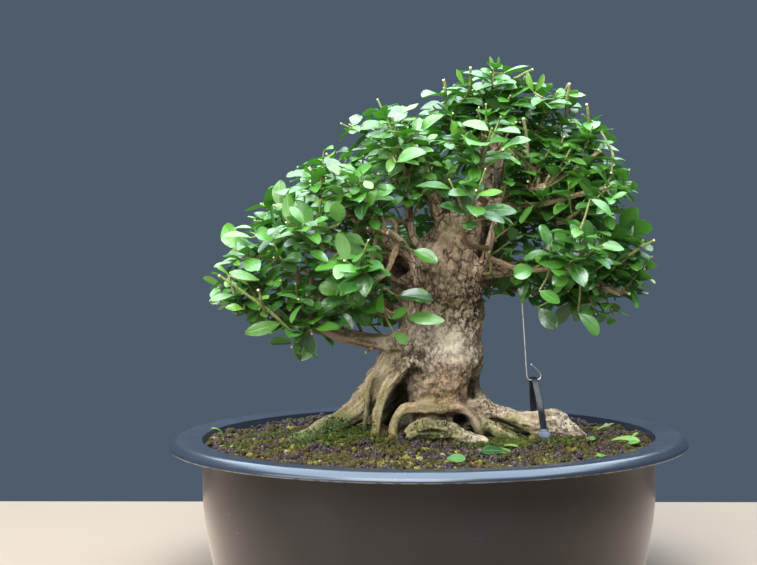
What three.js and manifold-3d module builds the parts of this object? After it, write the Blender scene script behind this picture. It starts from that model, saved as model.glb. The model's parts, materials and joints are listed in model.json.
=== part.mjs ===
// Privet bonsai in a round planting bowl. Millimetres, +Z up, the front is -Y and +X is to the right.
// The origin is the middle of the bowl's underside.
import * as THREE from "three";
import { mergeVertices } from "three/addons/utils/BufferGeometryUtils.js";
import Module from "manifold-3d";

const wasm = await Module();
wasm.setup();

// Driving dimensions

const touchGap = 0.3; // kept between two pieces that touch

const bowl = {
  height: 100,
  rimRadius: 190,
  bodyRadius: 166, // outside, under the rim
  taperTop: 54, // the body is upright above this height and tapers below it
  lowRadius: 159.5, // outside, where the base corner starts
  corner: 9,
  wall: 2.6,
  floor: 3,
  lip: 7.3, // how far the rim turns down
  sides: 40,
  drainHoles: 5,
  drainRadius: 7,
  drainCircle: 95,
};

const soilShape = {
  edgeLevel: 95,
  ringRadii: [34, 68, 102, 134],
  // mounds of soil against the roots: x, y, height, spread
  mounds: [
    [-10, 0, 5, 95],
    [-50, -18, 7, 34],
    [102, -24, 2.5, 34],
  ],
  grain: 0.8,
};

// Levels of the trunk column: height, middle x, middle y, half width, half depth
const columnLevels = [
  [76, 6, 2, 28, 26],
  [100, 7, 0, 23.5, 23],
  [116, 7.5, -1, 22.5, 24],
  [129, 7.5, -2, 22.5, 25.5],
  [139, 8, -2, 24.5, 27],
  [147, 8.5, -2, 29.5, 28],
  [154, 7.5, -2, 32.5, 29],
  [166, 7.5, -2, 32, 28.5],
  [181, 12, -2, 29.5, 27.5],
  [196, 12.5, -1, 30, 28],
  [208, 9.5, -1, 33, 29.5],
  [219, 6, 0, 36, 31],
  [229, 6.5, 0, 35.5, 30.5],
  [238, 14, -1, 28.5, 26.5],
  [247, 23, -2, 21.5, 22.5],
  [260, 28, -3.5, 17.5, 19],
  [272, 36.5, -4.5, 13, 14.5],
  [284, 43.5, -6, 9, 10.5],
  [292, 46.5, -7, 7, 8],
];
const columnSides = 20;
// Flutes that run up the column: how many round it, how deep, their phase and their turn per mm of height
const flutes = [
  [3, 0.045, 0.4, 0.012],
  [5, 0.05, 1.3, -0.016],
  [9, 0.028, 2.1, 0.022],
];

// Roots, as centre points with a radius: x, y, z, r
const roots = {
  left: [
    [-14, -5, 168, 13],
    [-24, -7, 153, 12.5],
    [-36, -10, 137, 10.5],
    [-51, -13, 121.5, 9.2],
    [-72, -17, 108, 8],
    [-92, -21, 98, 6.8],
    [-112, -26, 89, 5],
    [-128, -31, 81, 2.6],
  ],
  leftThin: [
    [-36, -17, 147, 3.4],
    [-42, -23, 140, 2.7],
    [-44.5, -26, 124, 2.1],
    [-46, -28, 108, 2.2],
    [-47, -29, 92, 1.8],
  ],
  frontLeft: [
    [2, -18, 166, 8],
    [-14, -26, 156, 5.8],
    [-29, -30, 142, 4.8],
    [-37.5, -31.5, 125, 3.9],
    [-40.5, -32.5, 109, 3.5],
    [-42, -34, 88, 2.8],
  ],
  backLeft: [
    [-6, 10, 148, 15],
    [-24, 26, 122, 12.5],
    [-42, 42, 104, 9.5],
    [-60, 56, 92, 6.5],
    [-76, 66, 82, 3],
  ],
  arch: [
    [-21, -32, 90, 3],
    [-26, -32, 106, 3.3],
    [-24, -31, 116, 3.5],
    [-17.5, -29, 122.5, 3.8],
    [-6, -27, 123, 4],
    [8, -26.5, 122, 4.6],
    [20, -26, 122.5, 4.2],
    [29, -25, 118.5, 3.8],
    [35, -25, 110, 3.6],
    [40, -26, 92, 2.6],
  ],
  stub: [
    [6, -12, 106, 12],
    [1, -28, 107, 8],
    [-2, -36, 107, 6],
  ],
  log: [
    [-15, -35, 102, 4.6],
    [-5, -38, 107, 6.8],
    [9, -40, 107.5, 7.4],
    [22, -41, 104.5, 6],
    [33, -42, 101.5, 4.6],
    [41, -43, 98.5, 2.6],
  ],
  right: [
    [8, -6, 112, 13],
    [24, -9, 114, 11],
    [39, -10, 119, 8.6],
    [52, -11, 114.5, 7.4],
    [66, -12, 109.5, 7.4],
    [80, -13, 108.8, 9.4],
    [92, -14, 108, 9.6],
    [103, -15, 103.5, 7.8],
    [113, -16, 97, 5],
    [122, -17, 88, 2.6],
  ],
  rightSpur: [
    [36, -5, 149, 5.5],
    [41, -6, 138, 3],
    [42.5, -7, 130, 3.6],
    [45, -9, 119, 5.5],
  ],
  rightFront: [
    [22, -17, 112, 8],
    [38, -20, 112, 5.6],
    [51, -23, 106, 5.2],
    [63, -26, 100, 4.4],
    [76, -29, 92, 2.6],
  ],
  backRight: [
    [16, 8, 134, 16],
    [36, 26, 112, 12],
    [56, 42, 99, 8.5],
    [74, 54, 90, 5.5],
    [88, 62, 81, 2.6],
  ],
  back: [
    [2, 14, 134, 14],
    [-2, 36, 110, 11],
    [-6, 56, 97, 7.5],
    [-10, 74, 87, 4],
    [-12, 84, 80, 2],
  ],
};

// Swellings of the trunk and what is left of cut limbs
const knots = {
  rightBulge: [
    [22, -4, 153, 12],
    [32, -5, 153, 11],
    [38.5, -6, 153, 6],
  ],
  leftCallus: [
    [-12, -12, 172, 9],
    [-27, -19, 169, 6.5],
    [-33, -21, 168, 4.5],
  ],
  deadwood: [
    [44, -10, 272, 8],
    [47, -16, 284, 5.6],
    [50, -19, 293, 2.6],
  ],
  shoulder: [
    [14, -14, 236, 12],
    [6, -20, 243, 7],
  ],
};

// The dark gap between the column's foot and the arched root
const archGap = [
  [25, -44, 112, 5.5],
  [22, -24, 112, 7],
  [17, -6, 111, 5],
];

// The hollow where a limb was cut out: its mouth, its depth and the rolled rim round it
const hollow = {
  mouth: new THREE.Vector3(-21, -22, 227),
  axis: new THREE.Vector3(-0.5, -0.85, 0.05).normalize(),
  radius: 8.5,
  depth: 17,
  rimRadius: 10,
  rimThickness: 2.8,
};

// Branches, as centre points with a radius
const branches = [
  [[-8, -8, 172, 9], [-28, -12, 169, 6.4], [-58, -17, 174, 5.2], [-92, -25, 185, 3.8], [-124, -32, 201, 2.5]],
  [[4, -18, 212, 7], [-8, -29, 227, 5.2], [-26, -36, 243, 4.2], [-50, -43, 260, 3.3], [-76, -49, 276, 2.5]],
  [[0, 8, 214, 10], [-22, 22, 228, 6.4], [-58, 40, 242, 4.6], [-96, 54, 252, 2.8]],
  [[2, -14, 226, 6], [-11, -24, 247, 3.4], [-15, -29, 270, 2.7], [-24, -32, 288, 2.3]],
  [[16, -6, 236, 9], [10, -12, 258, 5.6], [0, -15, 285, 4.2], [-30, -13, 318, 2.6]],
  [[11, -12, 256, 5], [28, -20, 266, 3.4], [54, -30, 273, 2.5]],
  [[24, 4, 250, 10], [10, 18, 272, 5.8], [-28, 38, 308, 3]],
  [[44, -6, 280, 8.5], [51, -7, 298, 6.6], [53, -5, 322, 4.6], [51, -4, 332, 3.2]],
  [[34, -4, 256, 10], [50, -9, 262, 6.4], [92, -16, 265, 4.5], [128, -21, 280, 2.6]],
  [[30, 0, 222, 12], [52, -4, 221.5, 6.2], [84, -9, 223, 4.7], [114, -16, 214, 3.5], [140, -21, 204, 2.5]],
  [[48, -5, 316, 5.5], [62, -11, 305, 4.2], [84, -19, 289, 3.4], [112, -25, 297, 2.5]],
  [[30, 6, 242, 11], [52, 22, 250, 6.4], [76, 40, 256, 4.5], [96, 49, 258, 2.8]],
  [[20, 8, 236, 12], [19, 32, 246, 6.8], [8, 76, 260, 3.4]],
  [[14, 10, 204, 11], [28, 32, 209, 6], [58, 74, 208, 3]],
  [[46, -2, 300, 6], [42, 16, 312, 4.2], [38, 26, 318, 2.9]],
  [[50, -3, 318, 5], [70, 10, 324, 3.8], [88, 22, 326, 2.7]],
  [[32, -16, 214, 6], [42, -26, 232, 3.5], [48, -29, 256, 2.8], [53, -32, 274, 2.3]],
  [[46, -8, 288, 6], [42, -30, 302, 3.9], [36, -50, 312, 2.7]],
  [[42, -6, 272, 7], [64, -26, 280, 4], [84, -46, 282, 2.7]],
  [[-14, -32, 234, 4.4], [-20, -50, 244, 3.4], [-30, -68, 252, 2.5]],
  [[-2, 8, 186, 11], [-28, 22, 190, 5.6], [-84, 42, 202, 3.2]],
];

// The crown: how far the outermost leaves reach from its middle, by elevation in degrees
const crown = {
  middle: new THREE.Vector3(8, 0, 220),
  right: [[-25, 126], [-12, 152], [0, 157], [20, 154], [32, 162], [50, 172], [67, 168], [76, 164], [90, 146]],
  left: [[-25, 128], [-12, 160], [-3, 168], [10, 160], [26, 148], [40, 132], [55, 128], [70, 134], [90, 146]],
  depth: [[-25, 98], [-10, 114], [10, 124], [35, 130], [60, 138], [90, 146]],
  squareness: 2.5, // 2 would make the crown round as seen from above, more fills its corners
  spiral: 62, // places on the spiral, before those too near another or in front of the trunk are left out
  lowest: -20,
  inset: 13, // from the outermost leaf to the end of its twig
  spacing: 49,
};
// Sprays at chosen places, most of them on the outline: the twig's end and its direction
const chosenSprays = [
  [[50, -4, 368], [0.05, 0, 1]],
  [[94, -8, 348], [0.5, -0.1, 1]],
  [[14, -6, 349], [-0.2, -0.15, 1]],
  [[122, -8, 322], [0.9, -0.1, 0.6]],
  [[137, 0, 286], [1, 0, 0.35]],
  [[151, -10, 246], [1, -0.1, 0.2]],
  [[151, -14, 212], [1, -0.2, -0.15]],
  [[110, -16, 192], [0.35, -0.5, -0.5]],
  [[-30, -8, 335], [-0.4, -0.1, 1]],
  [[-70, -12, 303], [-0.6, -0.1, 0.8]],
  [[-108, -18, 268], [-0.8, -0.1, 0.5]],
  [[-139, -24, 238], [-1, -0.15, 0.25]],
  [[-148, -26, 211], [-1, -0.15, -0.05]],
  [[-96, -44, 172], [-0.5, -0.35, -0.8]],
  [[-58, -56, 208], [-0.4, -0.8, 0.1]],
];
// No spray stands here, so the trunk shows between the left and right masses of leaves
const openFront = { left: -40, right: 62, behind: -18, above: 266 };

const twigShape = { length: 33, baseRadius: 1.5, tipRadius: 1, branchRadius: 2.4 };
// Where the leaf pairs stand along a twig, and their length there
const leafPairs = [[0.14, 26], [0.42, 30], [0.7, 28], [0.97, 23]];
const pairHeight = 1.6; // of the twig's face that a leaf grows out of
const leafShape = {
  width: 0.56, // of its length
  thickness: 0.65,
  // cross-sections: place along the leaf, share of the half width, rise above the straight line
  sections: [[0.25, 0.78, 0.9], [0.64, 1, 1.1]],
  tipDrop: 0.9,
  clearance: 0.4,
};
// Turns round the twig that a leaf tries in order, until it is clear of everything else
const leafTurns = [0, 18, -18, 36, -36];

const tie = {
  width: 4.6,
  thickness: 1.2,
  head: [7.6, 4.2, 6.2],
  headMiddle: [-25.2, 101.6], // y, z
  // its foot, and how far its top and its back stand to the left of that
  footX: 84.4,
  footLevel: 98,
  lean: 0.11,
  slant: 0.2,
};
// The loop of the tie: y, z
const tieLoop = [
  [-24.6, 104], [-23.8, 110], [-22.6, 120], [-19, 131], [-16, 138.6], [-13.8, 141.9], [-12, 142.6],
  [-10.2, 141.9], [-8, 138.6], [-5, 130], [-3, 121], [-2.6, 110], [-4.4, 102.8], [-8.4, 99.2],
  [-14, 98.3], [-20, 99.2], [-24.4, 101.4],
];
const wireRadius = 0.5;
const hookTop = new THREE.Vector3(67.4, -6.4, 222);
const hookClearance = 9; // no side branch starts nearer to the hook
// The wire: its hook over the branch, the straight run and the eye that the tie hangs in
const wireRoute = [
  [67.4, 0.3, 217], [67.4, 0.3, 222], [67.4, -1.7, 226.9], [67.4, -6.4, 228.9], [67.4, -11.1, 226.9],
  [67.4, -13.1, 222], [67.5, -13.1, 216], [70, -12.6, 178], [71.9, -12, 147], [72.6, -12, 142.6],
  [74, -12, 140.9], [80.4, -12, 140.9], [82, -12, 142.6], [81.6, -12.2, 146], [78.8, -13.2, 150.5],
  [75.2, -14, 156],
];

// Fallen leaves on the soil: x, y, turn in degrees, length
const fallenLeaves = [
  [131, -38, -14, 26],
  [33, -92, 8, 24],
  [9, -131, -6, 20],
  [112, -112, 40, 18],
];

const colours = {
  bowl: 0x20232a,
  soil: 0x4a3f36,
  bark: 0x9a8a70,
  leaf: 0x3c7a2c,
  youngLeaf: 0x6fa832,
  fallenLeaf: 0x7fa04a,
  plastic: 0x14161a,
  steel: 0xb8bcc0,
};

// Solids

/** A closed solid from plain lists of points and triangles. */
function solidFromLists(points, triangles) {
  return new wasm.Manifold(
    new wasm.Mesh({
      numProp: 3,
      vertProperties: new Float32Array(points.flatMap((p) => [p.x, p.y, p.z])),
      triVerts: new Uint32Array(triangles.flat()),
    }),
  );
}

/** A closed solid from a three.js geometry. */
function solidFromGeometry(geometry) {
  const bare = geometry.clone();
  bare.deleteAttribute("normal");
  bare.deleteAttribute("uv");
  const merged = mergeVertices(bare, 1e-4);
  return new wasm.Manifold(
    new wasm.Mesh({
      numProp: 3,
      vertProperties: new Float32Array(merged.attributes.position.array),
      triVerts: new Uint32Array(merged.index.array),
    }),
  );
}

/** The largest of the bodies that a solid falls into, without loose scraps. */
function mainBody(solid) {
  return solid.decompose().reduce((a, b) => (b.volume() > a.volume() ? b : a));
}

/** A named mesh of a solid. */
function meshOf(name, solid, color, roughness = 0.6, metalness = 0) {
  const { vertProperties, triVerts, numProp } = solid.getMesh();
  const positions = new Float32Array((vertProperties.length / numProp) * 3);
  for (let i = 0; i < positions.length / 3; i++)
    positions.set(vertProperties.subarray(i * numProp, i * numProp + 3), i * 3);
  const geometry = new THREE.BufferGeometry();
  geometry.setAttribute("position", new THREE.BufferAttribute(positions, 3));
  geometry.setIndex(new THREE.BufferAttribute(new Uint32Array(triVerts), 1));
  geometry.computeVertexNormals();
  const mesh = new THREE.Mesh(geometry, new THREE.MeshStandardMaterial({ color, roughness, metalness }));
  mesh.name = name;
  return mesh;
}

/** Triangles that join rings of equal length into a closed tube with flat ends, but for faces left open. */
function ringTriangles(rings, sides, isOpen = () => false) {
  const triangles = [];
  for (let k = 0; k < rings - 1; k++)
    for (let s = 0; s < sides; s++) {
      if (isOpen(k, s)) continue;
      const a = k * sides + s;
      const b = k * sides + ((s + 1) % sides);
      triangles.push([a, b, b + sides], [a, b + sides, a + sides]);
    }
  const end = (rings - 1) * sides;
  for (let s = 1; s < sides - 1; s++) {
    triangles.push([0, s + 1, s]);
    triangles.push([end, end + s, end + s + 1]);
  }
  return triangles;
}

/** A tapered limb through centre points with a radius each. The growth widens it all round. */
function limb(centres, sides = 6, growth = 0) {
  const path = centres.map(([x, y, z]) => new THREE.Vector3(x, y, z));
  const last = path.length - 1;
  if (growth > 0) {
    path[0].addScaledVector(path[0].clone().sub(path[1]).normalize(), growth);
    path[last].addScaledVector(path[last].clone().sub(path[last - 1]).normalize(), growth);
  }
  const points = [];
  const across = new THREE.Vector3(0.31, -0.52, 0.8);
  path.forEach((centre, k) => {
    const tangent = path[Math.min(k + 1, last)].clone().sub(path[Math.max(k - 1, 0)]).normalize();
    across.addScaledVector(tangent, -across.dot(tangent)).normalize();
    const upward = tangent.clone().cross(across);
    const radius = centres[k][3] + growth;
    for (let s = 0; s < sides; s++) {
      const angle = (2 * Math.PI * s) / sides;
      points.push(
        centre
          .clone()
          .addScaledVector(across, radius * Math.cos(angle))
          .addScaledVector(upward, radius * Math.sin(angle)),
      );
    }
  });
  return solidFromLists(points, ringTriangles(path.length, sides));
}

/** The fluted trunk column. */
function column(growth = 0) {
  const points = [];
  for (const [z, x, y, halfWidth, halfDepth] of columnLevels)
    for (let s = 0; s < columnSides; s++) {
      const angle = (2 * Math.PI * s) / columnSides;
      const swell = flutes.reduce(
        (sum, [count, deep, phase, turn]) => sum + deep * Math.cos(count * angle + phase + turn * z),
        1,
      );
      points.push(
        new THREE.Vector3(
          x + (halfWidth * swell + growth) * Math.cos(angle),
          y + (halfDepth * swell + growth) * Math.sin(angle),
          z,
        ),
      );
    }
  return solidFromLists(points, ringTriangles(columnLevels.length, columnSides));
}

// Bowl and soil

/** The bowl: a thin turned shell with a wide rim that rolls down, and drain holes in its floor. */
function makeBowl() {
  const inner = bowl.bodyRadius - bowl.wall;
  const profile = [
    [0, 0],
    [bowl.lowRadius - bowl.corner, 0],
    [bowl.lowRadius - bowl.corner * 0.25, bowl.corner * 0.28],
    [bowl.lowRadius, bowl.corner],
    [bowl.bodyRadius, bowl.taperTop],
    [bowl.bodyRadius, bowl.height - 7],
    [bowl.rimRadius - 5, bowl.height - 3.4],
    [bowl.rimRadius - 3, bowl.height - bowl.lip],
    [bowl.rimRadius, bowl.height - bowl.lip],
    [bowl.rimRadius - 0.3, bowl.height - 2.8],
    [bowl.rimRadius - 5, bowl.height],
    [inner + 4, bowl.height - 0.8],
    [inner, bowl.height - 5],
    [inner, bowl.taperTop],
    [bowl.lowRadius - bowl.wall, bowl.corner],
    [bowl.lowRadius - bowl.corner, bowl.floor],
    [0, bowl.floor],
  ].map(([radius, height]) => new THREE.Vector2(radius, height));
  const turned = new THREE.LatheGeometry(profile, bowl.sides).rotateX(Math.PI / 2);
  let solid = solidFromGeometry(turned);
  for (let i = 0; i < bowl.drainHoles; i++) {
    const angle = (2 * Math.PI * (i + 0.5)) / bowl.drainHoles;
    const drill = new THREE.CylinderGeometry(bowl.drainRadius, bowl.drainRadius, 4 * bowl.floor, 7)
      .rotateX(Math.PI / 2)
      .translate(bowl.drainCircle * Math.cos(angle), bowl.drainCircle * Math.sin(angle), 0);
    solid = solid.subtract(solidFromGeometry(drill));
  }
  return solid;
}

/** Height of the soil at a place: a level bed, mounds at the roots and coarse grains. */
function soilLevel(x, y) {
  let level = soilShape.edgeLevel;
  for (const [mx, my, height, spread] of soilShape.mounds)
    level += height * Math.exp(-((x - mx) ** 2 + (y - my) ** 2) / (spread * spread));
  const grains =
    Math.sin(0.31 * x + 1.7 * Math.sin(0.23 * y)) +
    Math.sin(0.37 * y + 2.3 * Math.sin(0.19 * x) + 1) +
    0.6 * Math.sin(0.53 * (x + y));
  return level + soilShape.grain * grains;
}

/** The soil that fills the bowl, clear of its wall, with a plain hole for everything that stands in it. */
function makeSoil(standing) {
  const wallGap = bowl.wall + touchGap;
  const edge = bowl.bodyRadius - wallGap;
  const profile = [
    [0, bowl.floor + touchGap],
    [bowl.lowRadius - bowl.corner, bowl.floor + touchGap],
    [bowl.lowRadius - wallGap, bowl.corner],
    [edge, bowl.taperTop],
    [edge, soilShape.edgeLevel],
    ...soilShape.ringRadii.toReversed().map((radius) => [radius, soilShape.edgeLevel]),
    [0, soilShape.edgeLevel],
  ].map(([radius, height]) => new THREE.Vector2(radius, height));
  const geometry = new THREE.LatheGeometry(profile, bowl.sides).rotateX(Math.PI / 2);
  const position = geometry.attributes.position;
  for (let i = 0; i < position.count; i++)
    if (position.getZ(i) > soilShape.edgeLevel - 0.01) {
      const x = position.getX(i);
      const y = position.getY(i);
      const fade = Math.hypot(x, y) > edge - 1 ? 0.35 : 1;
      position.setZ(i, soilShape.edgeLevel + fade * (soilLevel(x, y) - soilShape.edgeLevel));
    }
  return mainBody(standing.reduce((solid, piece) => solid.subtract(piece), solidFromGeometry(geometry)));
}

// Tree

/** A repeatable stream of numbers between 0 and 1. */
class Draws {
  constructor(seed) {
    this.state = Math.imul(seed + 1, 2654435761) >>> 0;
    this.next();
    this.next();
  }

  next() {
    this.state = (Math.imul(this.state, 1664525) + 1013904223) >>> 0;
    return this.state / 4294967296;
  }

  between(low, high) {
    return low + (high - low) * this.next();
  }
}

/** A value read off a list of [place, value] pairs, straight between them. */
function alongList(list, place) {
  const i = Math.max(1, list.findIndex(([at]) => at >= place));
  const [a, va] = list[i - 1];
  const [b, vb] = list[i];
  return va + ((vb - va) * (place - a)) / (b - a);
}

/** A spray's place, from its twig's end and direction. */
function sprayPlace(seed, tip, direction) {
  return { seed, tip, direction, seat: tip.clone().addScaledVector(direction, -twigShape.length) };
}

/** Whether a twig's end stands before the open trunk. */
function inOpenFront({ x, y, z }) {
  return x > openFront.left && x < openFront.right && y < openFront.behind && z < openFront.above;
}

/** The sprays' places: the chosen ones, then an even spiral over the rest of the crown. */
function sprayPlaces() {
  const places = chosenSprays.map(([tip, direction], i) =>
    sprayPlace(200 + i, new THREE.Vector3(...tip), new THREE.Vector3(...direction).normalize()),
  );
  const lowSine = Math.sin(THREE.MathUtils.degToRad(crown.lowest));
  const goldenAngle = Math.PI * (3 - Math.sqrt(5));
  for (let i = 0; i < crown.spiral; i++) {
    const sine = 1 - ((i + 0.5) / crown.spiral) * (1 - lowSine);
    const elevation = Math.asin(sine);
    const azimuth = i * goldenAngle;
    const degrees = THREE.MathUtils.radToDeg(elevation);
    const wide = alongList(Math.cos(azimuth) > 0 ? crown.right : crown.left, degrees);
    const deep = alongList(crown.depth, degrees);
    const power = crown.squareness;
    const share = Math.abs(Math.cos(azimuth) / wide) ** power + Math.abs(Math.sin(azimuth) / deep) ** power;
    const reach = share ** (-1 / power);
    const outward = new THREE.Vector3(
      Math.cos(elevation) * Math.cos(azimuth),
      Math.cos(elevation) * Math.sin(azimuth),
      sine,
    );
    const tip = crown.middle.clone().addScaledVector(outward, reach - crown.inset);
    const tooNear = places.some((place) => place.tip.distanceTo(tip) < crown.spacing);
    if (tooNear || inOpenFront(tip)) continue;
    places.push(sprayPlace(i, tip, outward.add(new THREE.Vector3(0, 0, 0.25)).normalize()));
  }
  return places;
}

/** The point of the branches that a side branch to this seat best starts from. */
function nearestBranchPoint(seat, direction) {
  let best = { cost: Infinity };
  for (const branch of branches)
    for (let k = 1; k < branch.length; k++)
      for (let t = 0; t < 1; t += 0.25) {
        const [x, y, z, radius] = branch[k - 1].map((value, n) => value + t * (branch[k][n] - value));
        const reach = seat.clone().sub(new THREE.Vector3(x, y, z));
        const length = reach.length();
        const cost = length * (2 - reach.dot(direction) / length);
        const atHook = hookTop.distanceTo(new THREE.Vector3(x, y, z)) < hookClearance;
        if (cost < best.cost && !atHook) best = { cost, centre: new THREE.Vector3(x, y, z), radius };
      }
  return best;
}

/** The side branch from the nearest branch to a spray's seat, which ends in a flat face. */
function sideBranch({ seat, direction }) {
  const { centre, radius } = nearestBranchPoint(seat, direction);
  const straight = Math.min(0.3 * seat.distanceTo(centre), 9);
  const turned = seat.clone().addScaledVector(direction, -straight);
  const bend = centre.clone().lerp(turned, 0.7).addScaledVector(direction, -0.17 * centre.distanceTo(turned));
  const startRadius = Math.min(twigShape.branchRadius, radius * 0.85);
  return limb(
    [
      [...centre, startRadius],
      [...bend, (startRadius + twigShape.baseRadius) / 2],
      [...turned, twigShape.baseRadius * 1.1],
      [...seat, twigShape.baseRadius],
    ],
    3,
  );
}

/** The hollow's cavity and its rolled rim. */
function hollowParts() {
  const inward = hollow.mouth.clone().addScaledVector(hollow.axis, -hollow.depth);
  const outside = hollow.mouth.clone().addScaledVector(hollow.axis, 12);
  const cavity = limb(
    [
      [...outside, hollow.radius * 1.1],
      [...hollow.mouth, hollow.radius],
      [...inward, hollow.radius * 0.6],
    ],
    8,
  );
  const ring = new THREE.TorusGeometry(hollow.rimRadius, hollow.rimThickness, 5, 11);
  ring.applyQuaternion(new THREE.Quaternion().setFromUnitVectors(new THREE.Vector3(0, 0, 1), hollow.axis));
  ring.translate(...hollow.mouth);
  return { cavity, rim: solidFromGeometry(ring) };
}

/** The whole woody tree: column, roots, knots, branches and side branches, grown as one. */
function makeTrunk(places) {
  const { cavity, rim } = hollowParts();
  let solid = column().subtract(limb(archGap, 6));
  for (const root of Object.values(roots)) solid = solid.add(limb(root, 6));
  for (const knot of Object.values(knots)) solid = solid.add(limb(knot, 6));
  solid = solid.add(rim).subtract(cavity);
  for (const branch of branches) solid = solid.add(limb(branch, 5));
  for (const place of places) solid = solid.add(sideBranch(place));
  return mainBody(solid);
}

/** What the soil keeps clear of: the column and roots, a little wider. */
function rootClearances() {
  return [column(touchGap), ...Object.values(roots).map((root) => limb(root, 6, touchGap))];
}

/** The four corners of a leaf's cross-section, counted round as seen from its tip. */
function leafSection({ root, along, across, normal }, distance, halfWidth, rise, half) {
  return [[1, 1], [-1, 1], [-1, -1], [1, -1]].map(([w, n]) =>
    root
      .clone()
      .addScaledVector(along, distance)
      .addScaledVector(across, w * halfWidth)
      .addScaledVector(normal, rise + n * half),
  );
}

/** Adds a blade to lists of points and triangles, from the four corners that it grows out of. */
function addBlade(points, triangles, baseCorners, frame, extra = 0) {
  const { root, along, normal, length } = frame;
  const across = new THREE.Vector3().crossVectors(normal, along).normalize();
  const half = leafShape.thickness / 2 + extra;
  let near = baseCorners;
  for (const [share, width, rise] of leafShape.sections) {
    const halfWidth = (leafShape.width * length * width) / 2 + extra;
    const corners = leafSection({ root, along, across, normal }, share * length, halfWidth, rise, half);
    const far = corners.map((corner) => points.push(corner) - 1);
    const [c0, c1, c2, c3] = near;
    const [q0, q1, q2, q3] = far;
    triangles.push([c0, c1, q1], [c0, q1, q0], [c1, c2, q2], [c1, q2, q1]);
    triangles.push([c2, c3, q2], [c3, q3, q2], [c3, c0, q0], [c3, q0, q3]);
    near = far;
  }
  const tip = root.clone().addScaledVector(along, length + extra).addScaledVector(normal, -leafShape.tipDrop);
  const top = points.push(tip.clone().addScaledVector(normal, half)) - 1;
  const bottom = points.push(tip.clone().addScaledVector(normal, -half)) - 1;
  const [q0, q1, q2, q3] = near;
  triangles.push([q0, q1, top], [q2, q3, bottom], [q1, q2, bottom], [q1, bottom, top]);
  triangles.push([q3, q0, top], [q3, top, bottom]);
}

/** A leaf blade by itself, closed at its root. */
function leafBlade(frame, extra = 0) {
  const across = new THREE.Vector3().crossVectors(frame.normal, frame.along).normalize();
  const half = leafShape.thickness / 2 + extra;
  const points = leafSection({ ...frame, across }, 0, 0.8 + extra, 0, half);
  const triangles = [[0, 2, 1], [0, 3, 2]];
  addBlade(points, triangles, [0, 1, 2, 3], frame, extra);
  return solidFromLists(points, triangles);
}

/** Two directions square to a twig's own. */
function squareTo(direction) {
  const level = new THREE.Vector3(0.02, 0, 1).cross(direction).normalize();
  return [level, direction.clone().cross(level)];
}

/** A direction square to a twig, at an angle round it. */
function roundTwig([level, upward], angle) {
  return level.clone().multiplyScalar(Math.cos(angle)).addScaledVector(upward, Math.sin(angle));
}

/** The frame of a leaf that grows from a point of a twig, towards an angle round it. */
function leafFrame(point, direction, angle, length, draws) {
  const spread = draws.between(1, 1.25);
  const along = roundTwig(squareTo(direction), angle)
    .multiplyScalar(Math.sin(spread))
    .addScaledVector(direction, Math.cos(spread))
    .add(new THREE.Vector3(0, 0, draws.between(-0.2, 0.1)))
    .normalize();
  const normal = new THREE.Vector3(0, 0, 0.55)
    .addScaledVector(direction, 0.8)
    .add(new THREE.Vector3(draws.between(-0.3, 0.3), draws.between(-0.3, 0.3), 0));
  normal.addScaledVector(along, -normal.dot(along)).normalize();
  return { root: point, along, normal, length };
}

/** The twig of a spray: points along it, and a square ring of corners at a share of its length. */
class Twig {
  constructor({ seat, tip, direction, seed }) {
    const draws = new Draws(900 + seed);
    this.direction = direction;
    this.start = seat.clone().addScaledVector(direction, touchGap);
    this.tip = tip;
    this.bow = new THREE.Vector3(draws.between(-1.5, 1.5), draws.between(-1.5, 1.5), -1.5);
    this.facing = draws.between(0, Math.PI / 2);
    this.square = squareTo(direction);
  }

  at(share) {
    const bend = Math.sin(Math.PI * share) ** 2;
    return this.start.clone().lerp(this.tip, share).addScaledVector(this.bow, bend);
  }

  radius(share) {
    return twigShape.baseRadius + (twigShape.tipRadius - twigShape.baseRadius) * share;
  }

  ring(share) {
    const centre = this.at(share);
    return [0, 1, 2, 3].map((s) =>
      centre
        .clone()
        .addScaledVector(roundTwig(this.square, this.facing + ((s - 0.5) * Math.PI) / 2), this.radius(share)),
    );
  }

  /** The shares of its length where a ring stands: at its start and below and above each pair. */
  ringShares() {
    const rise = pairHeight / 2 / twigShape.length;
    return [0, ...leafPairs.flatMap(([share]) => [share - rise, Math.min(share + rise, 1)])];
  }

  /** The solid with its leaves, given by pair and face as frames. */
  solid(leaves = []) {
    const shares = this.ringShares();
    const points = shares.flatMap((share) => this.ring(share));
    const growing = new Map(leaves.map((leaf) => [leaf.ring * 4 + leaf.face, leaf.frame]));
    const triangles = ringTriangles(shares.length, 4, (k, s) => growing.has(k * 4 + s));
    for (const [place, frame] of growing) {
      const k = Math.floor(place / 4);
      const s = place % 4;
      const next = (s + 1) % 4;
      const corners = [(k + 1) * 4 + next, (k + 1) * 4 + s, k * 4 + s, k * 4 + next];
      addBlade(points, triangles, leastTwisted(points, corners, frame), frame);
    }
    return solidFromLists(points, triangles);
  }
}

/** The corners that a leaf grows out of, counted from the one that twists its root least. */
function leastTwisted(points, corners, { along, normal }) {
  const across = new THREE.Vector3().crossVectors(normal, along).normalize();
  const middle = corners.reduce((sum, c) => sum.add(points[c]), new THREE.Vector3()).divideScalar(4);
  const match = (first) => {
    const offset = points[corners[first]].clone().sub(middle);
    const next = points[corners[(first + 1) % 4]].clone().sub(middle);
    return offset.dot(across) + offset.dot(normal) - next.dot(across) + next.dot(normal);
  };
  const first = [0, 1, 2, 3].reduce((best, turn) => (match(turn) > match(best) ? turn : best));
  return [0, 1, 2, 3].map((i) => corners[(first + i) % 4]);
}

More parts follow.
